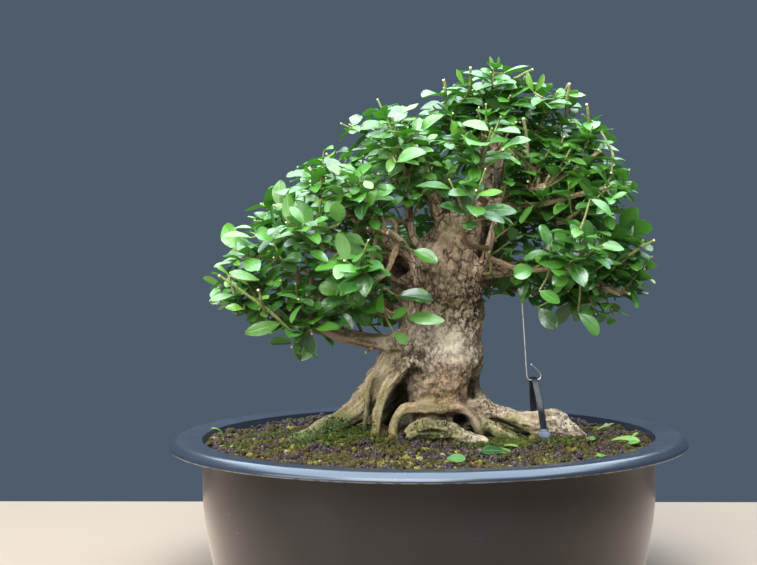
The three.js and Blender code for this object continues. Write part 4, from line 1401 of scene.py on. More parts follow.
        lift -= 3.2 * np.clip(values["shade"] * (points[:, 1] < -20) * (points[:, 2] > 135) - 0.25, 0, 1)
        points = points + normals * lift[:, None]
        mesh.vertices.foreach_set("co", (points * MM).ravel())
        for name, row in values.items():
            write_values(mesh, name, row)
        draws = np.random.default_rng(self.moss_seed)
        grows = (values["moss"] > 0.5) & (points[:, 2] < 116) & (normals[:, 2] > -0.3)
        grows &= np.array([rough(point, 9, 2) for point in points]) > -0.05
        grows &= draws.random(len(points)) < 0.35
        self.mossy = np.hstack([points[grows], unit(normals[grows] + UP * 0.5)])
        mesh.polygons.foreach_set("use_smooth", [True] * len(mesh.polygons))
        mesh.materials.clear()
        mesh.materials.append(Bark().material())
        mesh.update()
        placed(base, "bark", "trunk")

    def start_for(self, seat: np.ndarray, direction: np.ndarray) -> tuple[np.ndarray, float]:
        """Where a side branch to a seat best starts.

        Args:
            seat: The end of the side branch.
            direction: Its direction there.

        Returns:
            A point of a branch's middle line, and the branch's radius there.
        """
        rows = self.samples[self.kinds == Limb.BRANCH.value]
        reach = seat - rows[:, :3]
        length = np.linalg.norm(reach, axis=1)
        best = (length * (2 - (reach @ direction) / np.maximum(length, 1e-6))).argmin()
        return rows[best, :3], rows[best, 3]


# Leaves and shoots

# angle over which an edge of a leaf stays sharp, in degrees
LEAF_CREASE = 55


@dataclass
class Leaf:
    """One leaf: where it grows, its direction, the way its face looks, its length and its looks."""

    root: np.ndarray
    along: np.ndarray
    normal: np.ndarray
    length: float
    young: float = 0.0
    tone: float = 0.5
    width: float = 0.56


@dataclass
class Shoot:
    """A twig with its leaves: a path with radii, how green it is and whether its end was cut."""

    path: np.ndarray
    leaves: list[Leaf]
    green: tuple[float, float] = (0.3, 1.0)
    is_cut: bool = True


@dataclass
class LeafMaker:
    """Makes the meshes of leaves and twigs."""

    thickness: float = 0.34
    stalk: float = 0.05
    stations: tuple[float, ...] = (0, 0.06, 0.16, 0.32, 0.5, 0.68, 0.84, 0.95, 1)
    # places across the blade, from one edge over the rib to the other, and back below it
    ring: tuple[float, ...] = (1, 0.55, 0, -0.55, -1, 0)

    def blade(self, draft: Draft, leaf: Leaf, draws: Draws) -> None:
        """Adds a leaf: a blunt, folded, arched and slightly waved blade on a short stalk.

        Args:
            draft: Where it is added.
            leaf: The leaf.
            draws: The stream that varies it.
        """
        s = np.array(self.stations)[:, None]
        t = np.array(self.ring)[None, :]
        half = leaf.width * leaf.length / 2
        share = np.clip((s - self.stalk) / (1 - self.stalk), 0, 1)
        swell = np.sin(math.pi * share ** draws.uniform(0.98, 1.25))
        outline = half * np.maximum(swell, 0) ** draws.uniform(0.52, 0.66)
        outline = np.maximum(outline, np.where(s < 0.12, 0.5, 0.12))
        fold, drop = draws.uniform(-0.06, 0.42), draws.uniform(-0.05, 0.14) * leaf.length
        wave, phase = draws.uniform(0.02, 0.14), draws.uniform(0, 6.28)
        x = outline * t * (1 - 0.12 * abs(fold))
        lift = fold * np.abs(x) - drop * s**2 + 0.045 * leaf.length * np.sin(math.pi * s)
        lift = lift + wave * half * np.sin(2 * math.pi * 1.3 * s + phase + 1.5 * t) * t**2
        is_low = np.array([0, 0, 0, 0, 0, 1])[None, :]
        top = np.array([0.5, 1, 1, 1, 0.5, 0])[None, :]
        z = lift - is_low * (self.thickness + 0.35 * (1 - s)) + (1 - is_low) * (t == 0) * -0.1
        across = unit(np.cross(leaf.normal, leaf.along))
        twist = draws.uniform(-0.3, 0.3) * s
        wide = across * np.cos(twist)[..., None] + leaf.normal * np.sin(twist)[..., None]
        points = leaf.root + leaf.along * (leaf.length * s)[..., None] + wide * x[..., None]
        points = points + leaf.normal * z[..., None]
        run, side, upper = (np.broadcast_to(row, x.shape).ravel() for row in (s, t, top))
        draft.add(points.reshape(-1, 3), tube_faces(len(self.stations), len(self.ring)),
                  along=run, across=side, top=upper, tone=leaf.tone, young=leaf.young)

    def twig(self, draft: Draft, shoot: Shoot) -> None:
        """Adds a shoot's stem: knobbly where it is woody, and pale at its end where it was cut.

        Args:
            draft: Where it is added.
            shoot: The shoot.
        """
        path = spline(shoot.path, 2.8)
        share = np.linspace(0, 1, len(path))
        green = shoot.green[0] + (shoot.green[1] - shoot.green[0]) * share
        woody = 1 - np.clip(green * 2, 0, 1)
        for row, wood in zip(path, woody):
            row[:3] += 0.55 * wood * np.array([rough(row[:3] + shift, 6, 2) for shift in (0, 40, 80)])
            row[3] *= 1 + 0.35 * wood * rough(row[:3] + 120, 4, 2)
        cut_end = np.zeros(len(path))
        end = unit(path[-1, :3] - path[-2, :3])
        if shoot.is_cut:
            tip, radius = path[-1, :3], path[-1, 3]
            cap = [[*(tip - 1.1 * end), radius], [*(tip - 0.8 * end), radius * 1.04], [*tip, radius]]
            path = np.vstack([path[:-1], cap])
            cut_end = np.concatenate([cut_end[:-1], [0, 1, 1]])
            green = np.concatenate([green, green[-1:], green[-1:]])
        else:
            path[-1, 3] *= 0.4
        points, faces = tube(path, 6)
        draft.add(points, faces, 1, green=np.repeat(green, 6), cut=np.repeat(cut_end, 6))

    @staticmethod
    def draft() -> Draft:
        """An empty draft for leaves and twigs."""
        return Draft("along", "across", "top", "tone", "young", "green", "cut")


def read_leaves(points: np.ndarray, thickness: float = 0.65) -> tuple[list[Leaf], np.ndarray]:
    """Reads a spray's leaves off its solid: each has five pairs of points, one leaf's thickness apart.

    Args:
        points: The solid's points.
        thickness: The thickness of its leaves.

    Returns:
        The leaves, and the points that belong to no leaf.
    """
    gap = points[:, None] - points[None]
    length = np.linalg.norm(gap, axis=2)
    upper, lower = np.nonzero(np.abs(length - thickness) < 0.004)
    pairs = [(i, j) for i, j in zip(upper, lower) if i < j]
    middles = np.array([(points[i] + points[j]) / 2 for i, j in pairs]).reshape(-1, 3)
    normals = np.array([unit(points[i] - points[j]) for i, j in pairs]).reshape(-1, 3)
    rest = np.ones(len(points), bool)
    rest[[index for pair in pairs for index in pair]] = False
    left = list(range(len(pairs)))
    leaves = []
    while left:
        first = left[0]
        alike = [k for k in left if abs(normals[k] @ normals[first]) > 0.99995
                 and np.linalg.norm(middles[k] - middles[first]) < 34]
        left = [k for k in left if k not in alike]
        if len(alike) == 5:
            leaves.append(leaf_from(middles[alike], normals[first]))
    return leaves, points[rest]


def leaf_from(middles: np.ndarray, normal: np.ndarray) -> Leaf:
    """A leaf from the middles of its five pairs of points: two wide sections and the tip.

    Args:
        middles: The five points.
        normal: The way its face looks, or the opposite.

    Returns:
        The leaf.
    """
    spread = [sum(np.linalg.norm(middles[k] - other) for other in middles) for k in range(5)]
    best = None
    for tip in range(5):
        others = [k for k in range(5) if k != tip]
        for mate in others[1:]:
            pair_a = (others[0], mate)
            pair_b = tuple(k for k in others if k not in pair_a)
            centres = [middles[list(pair)].mean(axis=0) for pair in (pair_a, pair_b)]
            near_one, far_one = sorted(centres, key=lambda c: -np.linalg.norm(c - middles[tip]))
            ratio = np.linalg.norm(middles[tip] - near_one) / max(np.linalg.norm(far_one - near_one), 1e-6)
            widths = [middles[pair[0]] - middles[pair[1]] for pair in (pair_a, pair_b)]
            skew = 1 - abs(unit(widths[0]) @ unit(widths[1])) + abs(ratio - 0.75 / 0.39) * 0.2
            if best is None or skew < best[0]:
                best = (skew, tip, near_one, far_one, max(np.linalg.norm(w) for w in widths))
    _, tip, near_one, far_one, wide = best
    if normal @ UP < 0:
        normal = -normal
    chord = far_one - near_one
    along = square_to(chord, normal)
    length = float(chord @ along) / 0.39
    root = near_one - along * 0.25 * length - normal * 0.9
    return Leaf(root, along, normal, length, width=wide / length)


@dataclass
class SeenLeaf:
    """A single leaf that the photograph shows: where it starts and ends, its width and its looks."""

    root: Point
    tip: Point
    width: float
    facing: Point = (0, -0.6, 0.8)
    young: float = 0.0
    tone: float = 0.6

    def leaf(self) -> Leaf:
        """The leaf.

        Returns:
            It, with its face turned square to its rib.
        """
        root, facing = np.array(self.root, float), np.array(self.facing, float)
        run = np.array(self.tip, float) - root
        along = unit(run)
        length = float(np.linalg.norm(run))
        normal = square_to(facing, along)
        return Leaf(root, along, normal, length, self.young, self.tone, self.width / length)


@dataclass
class Foliage:
    """All the leafy shoots: one piece for each spray of the frame, and the shoots within the crown."""

    wood: Wood
    middle: Point = (8, 0, 220)
    highest: float = 380
    # lower edge of the crown: x and z
    underside: Outline = (
        (-170, 205), (-121, 180), (-96, 174), (-81, 184), (-31, 180), (-20, 172), (36, 196), (60, 198),
        (84, 190),
        (97, 179), (125, 173), (165, 206),
    )
    # upper edge of the crown: x and z
    overside: Outline = (
        (-170, 150), (-167, 208), (-156, 232), (-151, 250), (-136, 258), (-123, 284), (-92, 298),
        (-68, 314), (-60, 330),
        (-27, 350), (13, 361), (28, 369), (47, 374), (70, 371), (78, 366), (93, 357), (103, 357),
        (117, 349), (132, 329),
        (143, 307), (152, 272), (165, 250), (167, 150),
    )
    twig_radius: float = 0.85
    leaf_scale: float = 0.92
    flatten: float = 0.45
    # seeds of the sprays' growth, of their leaves, of the single leaves, and of the inner shoots
    spray_seed: int = 500
    leaf_seed: int = 900
    single_seed: int = 7
    inner_seed: int = 77
    inner_leaf_seed: int = 60
    seen: tuple[SeenLeaf, ...] = (
        SeenLeaf((-11, -50, 238), (6, -56, 229), 13, (0.1, -0.9, 0.6), 0.1, 0.9),
        SeenLeaf((-14, -50, 239), (-24, -55, 243), 7, (0, -0.3, 1), 0.1, 0.8),
        SeenLeaf((-22, -55, 206), (3, -57, 204), 14, (0.4, -0.75, 0.6), 0, 0.0),
        SeenLeaf((-17, -50, 190), (11, -54, 187), 10.5, (0, -0.8, 0.8), 0.15, 0.9),
        SeenLeaf((-27, -48, 189), (-15, -52, 196), 8, (0, -0.8, 0.8), 0.1, 0.9),
        SeenLeaf((-25, -46, 179), (-15, -50, 172), 8, (0.3, -0.7, 0.7), 0.1, 0.8),
        SeenLeaf((111, -84, 274), (126, -88, 263), 10.5, (0.2, -0.5, 0.9), 0, 0.7),
        SeenLeaf((72, -80, 226), (58, -84, 221), 12.5, (0, -0.9, 0.5), 0, 0.8),
        SeenLeaf((97, -78, 220), (85, -82, 215), 12.5, (0, -0.9, 0.5), 0, 0.8),
        SeenLeaf((76, -78, 210), (90, -82, 202), 10.5, (0.1, -0.8, 0.6), 0, 0.7),
        SeenLeaf((105, -60, 193), (119, -64, 178), 11, (0.4, -0.8, 0.4), 0, 0.6),
        SeenLeaf((78, -40, 196), (91, -44, 181), 12, (-0.4, -0.8, 0.3), 0, 0.1),
        SeenLeaf((-108, -72, 247), (-121, -78, 252), 14, (-0.2, -0.7, 0.8), 0.1, 0.9),
        SeenLeaf((-61, -84, 259), (-66, -92, 273), 12, (-0.2, -0.8, 0.6), 0.1, 0.9),
        SeenLeaf((-23, -84, 300), (-3, -92, 308), 12, (0, -0.7, 0.8), 0, 0.7),
        # darkest tone: its own dark green, and painted shade of the crown that it hangs under
        SeenLeaf((-88, -50, 183), (-91, -51, 160), 19, (0.55, -0.85, 0.05), 0.0, 0.0),
        SeenLeaf((-105, -50, 187), (-131, -54, 180), 10, (0.55, -0.8, 0.2), 0.3, 0.4),
        SeenLeaf((-138, -52, 207), (-155, -56, 205), 5.5, (0, -0.8, 0.6), 0.2, 0.5),
        SeenLeaf((-120, -58, 218), (-141, -62, 224), 8, (-0.1, -0.7, 0.7), 0.2, 0.9),
        SeenLeaf((-45, -84, 268), (-38, -92, 281), 9, (0.2, -0.7, 0.8), 0.2, 0.9),
        SeenLeaf((-70, -80, 232), (-56, -88, 236), 9, (0, -0.6, 0.9), 0.1, 0.8),
        SeenLeaf((-52, -78, 214), (-62, -86, 208), 9, (0, -0.7, 0.7), 0.1, 0.8),
        SeenLeaf((50, -10, 368), (46, -12, 376), 3.4, (-0.6, -0.7, 0.3), 0.9, 0.9),
        SeenLeaf((51, -10, 367), (53, -12, 376), 3.2, (0.6, -0.7, 0.3), 0.9, 0.9),
        SeenLeaf((56, -12, 364), (75, -16, 370), 6, (0, -0.4, 0.9), 0.5, 0.8),
        SeenLeaf((77, -20, 350), (72, -22, 364), 5, (-0.5, -0.8, 0.3), 0.9, 0.9),
        SeenLeaf((78, -20, 350), (84, -22, 363), 5.5, (0.5, -0.8, 0.3), 0.5, 0.9),
        SeenLeaf((27, -18, 356), (22, -20, 367), 4, (-0.5, -0.8, 0.3), 0.9, 0.9),
        SeenLeaf((-6, -60, 322), (10, -64, 334), 9, (-0.5, -0.8, 0.5), 0.0, 0.9),
        SeenLeaf((22, -62, 316), (17, -70, 328), 8, (0.3, -0.9, 0.2), 0.9, 0.9),
        SeenLeaf((24, -62, 312), (30, -68, 322), 5, (-0.3, -0.9, 0.3), 0.8, 0.9),
        SeenLeaf((-125, -58, 248), (-145, -62, 251), 8, (0, -0.5, 0.8), 0.8, 0.5),
        SeenLeaf((-131, -52, 197), (-144, -56, 199), 6.5, (0, -0.6, 0.6), 0.9, 0.4),
    )
    # bare cut twigs and branches that the photograph shows: foot, tip, radius and how green
    cut_twigs: tuple[tuple[Point, Point, float, float], ...] = (
        ((14, -8, 351), (12.5, -9, 360), 1.1, 0.6), ((31, -20, 353), (31.5, -24, 368), 1.1, 0.8),
        ((64, -16, 360), (77, -18, 366.5), 1.0, 0.8), ((101, -22, 345), (102.5, -24, 356), 1.2, 0.6),
        ((116, -24, 335), (114.5, -26, 341), 1.0, 0.4), ((30, -52, 311), (39, -56, 319), 1.1, 0.8),
        ((79, -34, 289), (57.5, -46, 312), 1.5, 0.75), ((-109, -54, 192), (-148, -64, 222), 1.1, 0.8),
        ((-80, -50, 290), (-84, -54, 297), 1.0, 0.8), ((-74, -52, 289), (-74.5, -56, 297), 1.0, 0.8),
        ((-49, -62, 260), (-49, -68, 276), 1.1, 0.7), ((-118, -66, 203), (-120, -72, 212), 1.1, 0.6),
        ((45, -26, 220), (44, -31, 236), 1.2, 0.6), ((148, -26, 234), (163, -30, 243), 1.0, 0.8),
        ((71, -38, 309), (68.1, -42, 331), 1.3, 0.45), ((83, -42, 270), (126, -50, 280.6), 1.8, 0.1),
        ((107, -38, 294), (123, -42, 307.6), 2.0, 0.1), ((131, -42, 306), (130, -46, 291), 1.0, 0.8),
        ((-24, -60, 258), (-40, -66, 262), 1.6, 0.1), ((-38, -58, 243), (-34, -64, 256), 1.4, 0.2),
    )
    # places before the open trunk where only the sprays' own leaves hang: x from, x to, z from, z to
    clearings: Rows = (
        (-32, 44, 176, 262), (-26, 40, 120, 180), (-14, 36, 258, 276), (-84, -20, 120, 168),
        (34, 56, 268, 322),
    )
    maker: LeafMaker = field(default_factory=LeafMaker)
    taken: dict[tuple[int, ...], list[np.ndarray]] = field(default_factory=dict)
    cell: float = 8.0

    def is_free(self, leaf: Leaf, gap: float) -> bool:
        """Whether a leaf keeps clear of those already there, and if so notes its place.

        Args:
            leaf: The leaf.
            gap: The distance that it keeps.

        Returns:
            True if it was free.
        """
        spots = [leaf.root + leaf.along * leaf.length * share for share in (0.35, 0.62, 0.9)]
        for x, y, z in spots:
            if gap and y < -10 and any(a < x < b and c < z < d for a, b, c, d in self.clearings):
                return False
        cells = [tuple(int(c) for c in np.floor(spot / self.cell)) for spot in spots]
        around = [(a, b, c) for a in (-1, 0, 1) for b in (-1, 0, 1) for c in (-1, 0, 1)]
        for spot, (i, j, k) in zip(spots, cells):
            for a, b, c in around:
                for other in self.taken.get((i + a, j + b, k + c), ()):
                    if np.linalg.norm(other - spot) < gap:
                        return False
        for spot, cell in zip(spots, cells):
            self.taken.setdefault(cell, []).append(spot)
        return True

    def outward(self, place: np.ndarray) -> np.ndarray:
        """The level direction away from the crown's middle, shorter near it."""
        away = (place - np.array(self.middle)) * (1, 1, 0) / 60
        return away / max(1.0, float(np.linalg.norm(away)))

    def grown_leaf(self, at: np.ndarray, out: np.ndarray, direction: np.ndarray, length: float,
                   draws: Draws) -> Leaf:
        """A leaf that spreads level from its twig and turns its face up and a little outward.

        Args:
            at: Where it grows.
            out: The direction square to its twig.
            direction: The twig's direction.
            length: Its length.
            draws: The stream that varies it.

        Returns:
            The leaf.
        """
        spread = draws.uniform(1.0, 1.45)
        along = out * math.sin(spread) + direction * math.cos(spread)
        droop = 0.35 if at[2] < 235 else 0.12
        along = unit(along * (1, 1, self.flatten) + UP * draws.uniform(-droop, 0.14))
        face = UP + np.interp(at[2], (200, 330), (0.5, 0.14)) * self.outward(at) + draws.normal(0, 0.25, 3)
        normal = square_to(face, along)
        tone, width = float(draws.random()), draws.uniform(0.46, 0.64)
        return Leaf(at + out * 0.5, along, normal, length, 0, tone, width)

    def shoot(
        self, start: np.ndarray, direction: np.ndarray, length: float, pairs: int, draws: Draws,
        size: tuple[float, float] = (15, 22.5), wood: float = 0.0,
    ) -> Shoot:
        """Grows a shoot: a bowed twig with crossed pairs of leaves, its end often cut above the last pair.

        Args:
            start: Where it leaves its branch.
            direction: Where it heads.
            length: Its length up to the last pair.
            pairs: Its pairs of leaves.
            draws: The stream that varies it.
            size: The range of its leaves' lengths.
            wood: How woody its foot is, from 0 to 1.

        Returns:
            The shoot.
        """
        direction = unit(direction)
        level, upward = level_and_up(direction)
        bow = draws.uniform(-0.15, 0.15) * level + draws.uniform(0.02, 0.2) * UP
        is_cut = bool(draws.random() < 0.42)
        whole = length + (draws.uniform(1.5, 8) if is_cut else 0.5)

        def at(share: float) -> np.ndarray:
            """The place at a share of the whole length."""
            return start + direction * whole * share + bow * whole * share**2

        radii = np.linspace(self.twig_radius, self.twig_radius * 0.72, 5)
        path = np.column_stack([[at(share) for share in np.linspace(0, 1, 5)], radii])
        facing = draws.uniform(0, math.pi)
        is_young = draws.random() > 0.62 and not is_cut
        leaves = []
        growth = 1 + 0.12 * float(np.clip(start[0] / 60, 0, 1))
        for pair in range(pairs):
            share = (1 - (pairs - 1 - pair) * 0.27) * length / whole
            late = pair / max(pairs - 1, 1)
            for side in (0, 1):
                span = growth * draws.uniform(*size) * draws.choice([0.75, 1, 1, 1.1])
                span *= 1 - 0.3 * late * (not is_cut)
                for attempt in range(5):
                    angle = facing + math.pi * side + math.pi / 2 * pair
                    angle += draws.normal(0, 0.18 + 0.16 * attempt)
                    out = swung(level, upward, angle)
                    leaf = self.grown_leaf(at(share), out, direction, span, draws)
                    leaf.young = float(np.clip(0.8 * late * is_young + draws.normal(0.05, 0.07), 0, 1))
                    tip = leaf.root + leaf.along * span
                    edges = (self.underside, self.overside)
                    lowest, highest = (np.interp(tip[0], *np.transpose(edge)) for edge in edges)
                    is_in = lowest < min(tip[2], leaf.root[2]) and tip[2] < highest
                    if is_in and self.is_free(leaf, 4.8 - 0.4 * attempt):
                        leaves.append(leaf)
                        break
        path[:, 2] = np.minimum(path[:, 2], self.highest)
        return Shoot(path, leaves, (0.55 - 0.55 * wood, 1.0 - 0.6 * wood), is_cut)

    def read(self, name: str, draws: Draws) -> list[Shoot]:
        """Reads a spray off the frame, and grows its side shoots.

        Args:
            name: The spray's node.
            draws: The stream that varies it.

        Returns:
            The main shoot, its side branch and its side shoots.
        """
        leaves, stem = read_leaves(solid_points(name))
        axis = np.linalg.svd(stem - stem.mean(axis=0))[2][0]
        if (stem.mean(axis=0) - np.array(self.middle)) @ axis < 0:
            axis = -axis
        run = stem @ axis
        low, high = run.min(), run.max()
        seat = stem[run < low + 1.2].mean(axis=0)
        tip = stem[run > high - 1.2].mean(axis=0)
        middle = stem[np.abs(run - (low + high) / 2) < 6].mean(axis=0)
        direction = unit(tip - seat)
        for leaf in leaves:
            share = (leaf.root - seat) @ direction / np.linalg.norm(tip - seat)
            leaf.tone = float(draws.random())
            age = (share - 0.75) * 2.2 * draws.random() + draws.normal(0.04, 0.05)
            leaf.young = float(np.clip(age, 0, 1))
            leaf.length *= self.leaf_scale * draws.uniform(0.85, 1.08)
            leaf.width = draws.uniform(0.48, 0.64)
            leaf.along = unit(leaf.along * (1, 1, self.flatten))
            face = 0.45 * leaf.normal + 0.6 * UP + 0.2 * self.outward(leaf.root) + draws.normal(0, 0.14, 3)
            leaf.normal = square_to(face, leaf.along)
            self.is_free(leaf, 0)
        start, thick = self.wood.start_for(seat, direction)
        reach = float(np.linalg.norm(seat - start))
        turned_in = seat - direction * min(0.3 * reach, 9)
        bend = start + 0.7 * (turned_in - start) - direction * 0.17 * np.linalg.norm(turned_in - start)
        foot = min(2.4, thick * 0.85)
        rows = [(*start, foot), (*bend, (foot + 1.4) / 2), (*turned_in, 1.5), (*seat, 1.3)]
        wood = Shoot(np.array(rows), [], (0.0, 0.1), False)
        main = Shoot(np.array([(*(seat - direction), 1.3), (*middle, 1.1), (*tip, 0.9),
                               (*(tip + direction * draws.uniform(1, 6)), 0.8)]), leaves, (0.1, 0.9))
        main.path[:, 2] = np.minimum(main.path[:, 2], self.highest)
        shoots = [wood, main]
        level, upward = level_and_up(direction)
        turn = draws.uniform(0, math.pi)
        for k, share in enumerate((-0.35, -0.1, 0.05, 0.2, 0.36, 0.52)):
            angle = turn + k * 2.4 + draws.normal(0, 0.25)
            out = swung(level, upward, angle)
            heading = out * 0.95 + direction * draws.uniform(0.5, 0.85) + UP * 0.1
            origin = seat + (tip - seat) * share if share > 0 else seat + (turned_in - seat) * -share * 2.5
            shoots.append(self.shoot(origin, heading, draws.uniform(15, 26), 3, draws))
        return [shoot for shoot in shoots if shoot.leaves or shoot is wood]

    def dress(self, name: str, shoots: Iterable[Shoot], seed: int) -> Draft:
        """Makes the mesh of some shoots.

        Args:
            name: What they are, for the log.
            shoots: The shoots.
            seed: The seed that varies the leaves.

        Returns:
            The draft.
        """
        draws = np.random.default_rng(seed)
        draft = self.maker.draft()
        count = 0
        for shoot in shoots:
            self.maker.twig(draft, shoot)
            for leaf in shoot.leaves:
                self.maker.blade(draft, leaf, draws)
                count += 1
        LOG.info("%s: %d leaves", name, count)
        return draft

    def build(self) -> None:
        """Builds the leaves seen before the crown, every spray, and the shoots along the branches."""
        skins = [LeafSkin().material(), TwigSkin().material()]
        names = sorted(name for name in frame["nodes"] if name.startswith("spray_"))
        for seen in self.seen:
            self.is_free(seen.leaf(), 0)
        grown = {}
        for number, name in enumerate(names):
            grown[name] = self.read(name, np.random.default_rng(self.spray_seed + number))
        twigs = np.vstack([spline(shoot.path, 4) for shoots in grown.values() for shoot in shoots])
        carriers = np.vstack([twigs, self.wood.samples])
        single = [self.seen_shoot(seen, carriers) for seen in self.seen]
        single += [self.cut_twig(np.array(foot, float), np.array(tip, float), *looks, carriers)
                   for foot, tip, *looks in self.cut_twigs]
        slots = {row["node"]: row["material_slot"] for row in frame["record"]["subparts"]}
        for number, name in enumerate(names):
            draft = self.dress(name, grown[name], self.leaf_seed + number)
            placed(draft.piece(name.replace("spray", "shoot"), skins, LEAF_CREASE), slots[name], name)
        draft = self.dress("single leaves", single, self.single_seed)
        placed(draft.piece("single_leaves", skins, LEAF_CREASE), "leaf")
        self.inner(skins)

    def seen_shoot(self, seen: SeenLeaf, carriers: np.ndarray) -> Shoot:
        """A single leaf on a thin twig from what carries it.

        Args:
            seen: The leaf.
            carriers: Places and radii along twigs and limbs.

        Returns:
            The shoot.
        """
        leaf = seen.leaf()
        gap = np.linalg.norm(carriers[:, :3] - leaf.root, axis=1) - carriers[:, 3]
        start = carriers[gap.argmin(), :3]
        middle = (start + leaf.root) / 2 - UP * 0.06 * np.linalg.norm(leaf.root - start)
        return Shoot(np.array([(*start, 1.0), (*middle, 0.8), (*leaf.root, 0.7)]), [leaf], (0.1, 0.9), False)

    @staticmethod
    def cut_twig(
        foot: np.ndarray, tip: np.ndarray, radius: float, green: float, carriers: np.ndarray
    ) -> Shoot:
        """A bare twig from what carries it, by its foot, to its cut tip.

        Args:
            foot: Where it comes into view.
            tip: Its end.
            radius: Its radius there.
            green: How green its end is.
            carriers: Places and radii along twigs and limbs.

        Returns:
            The shoot.
        """
        reach = foot - carriers[:, :3]
        length = np.linalg.norm(reach, axis=1)
        turned = reach @ unit(tip - foot) / np.maximum(length, 1e-6)
        start = carriers[(length * (1.3 - turned)).argmin(), :3]
        middle = (foot + tip) / 2 + (0.4, 0, 0.5)
        rows = [(*start, radius * 1.15), (*foot, radius * 1.1), (*middle, radius), (*tip, radius * 0.92)]
        return Shoot(np.array(rows), [], (green * 0.6, green))

    def inner(self, skins: Sequence[Material]) -> None:
        """Short shoots and bare cut stubs along the branches, in pieces by the side of the crown.

        Args:
            skins: Materials of leaf and twig.
        """
        draws = np.random.default_rng(self.inner_seed)
        sides = ("front_left", "front_right", "back_left", "back_right")
        parts: dict[str, list[Shoot]] = {side: [] for side in sides}
        for branch in self.wood.branches:
            path = spline(branch, 12)
            forward, first, second = path_frames(path)
            for k in range(2, len(path)):
                for _ in range(4):
                    angle = draws.uniform(0, 2 * math.pi)
                    out = swung(first[k], second[k], angle)
                    heading = out + 0.7 * forward[k] + 0.4 * UP
                    start = path[k, :3] + out * path[k, 3] * 0.6
                    length = draws.uniform(12, 30)
                    if self.before_trunk(start + unit(heading) * length):
                        continue
                    side = ("front" if start[1] < 0 else "back") + ("_left" if start[0] < 8 else "_right")
                    if draws.random() < 0.22:
                        end = start + unit(heading) * draws.uniform(6, 13)
                        stub = np.array([(*start, 1.3), (*((start + end) / 2 + UP), 1.05), (*end, 0.95)])
                        parts[side].append(Shoot(stub, [], (0.0, 0.35)))
                    else:
                        grown = self.shoot(start, heading, length, 3, draws, (13, 20), 0.4)
                        if grown.leaves:
                            parts[side].append(grown)
        for number, (side, shoots) in enumerate(parts.items()):
            draft = self.dress(side, shoots, self.inner_leaf_seed + number)
            placed(draft.piece(f"inner_shoots_{side}", skins, LEAF_CREASE), "leaf")

    @staticmethod
    def before_trunk(tip: np.ndarray) -> bool:
        """Whether a place lies before the open trunk."""
        return bool(-36 < tip[0] < 54 and tip[1] < -6 and tip[2] < 268)


# Guy line and litter


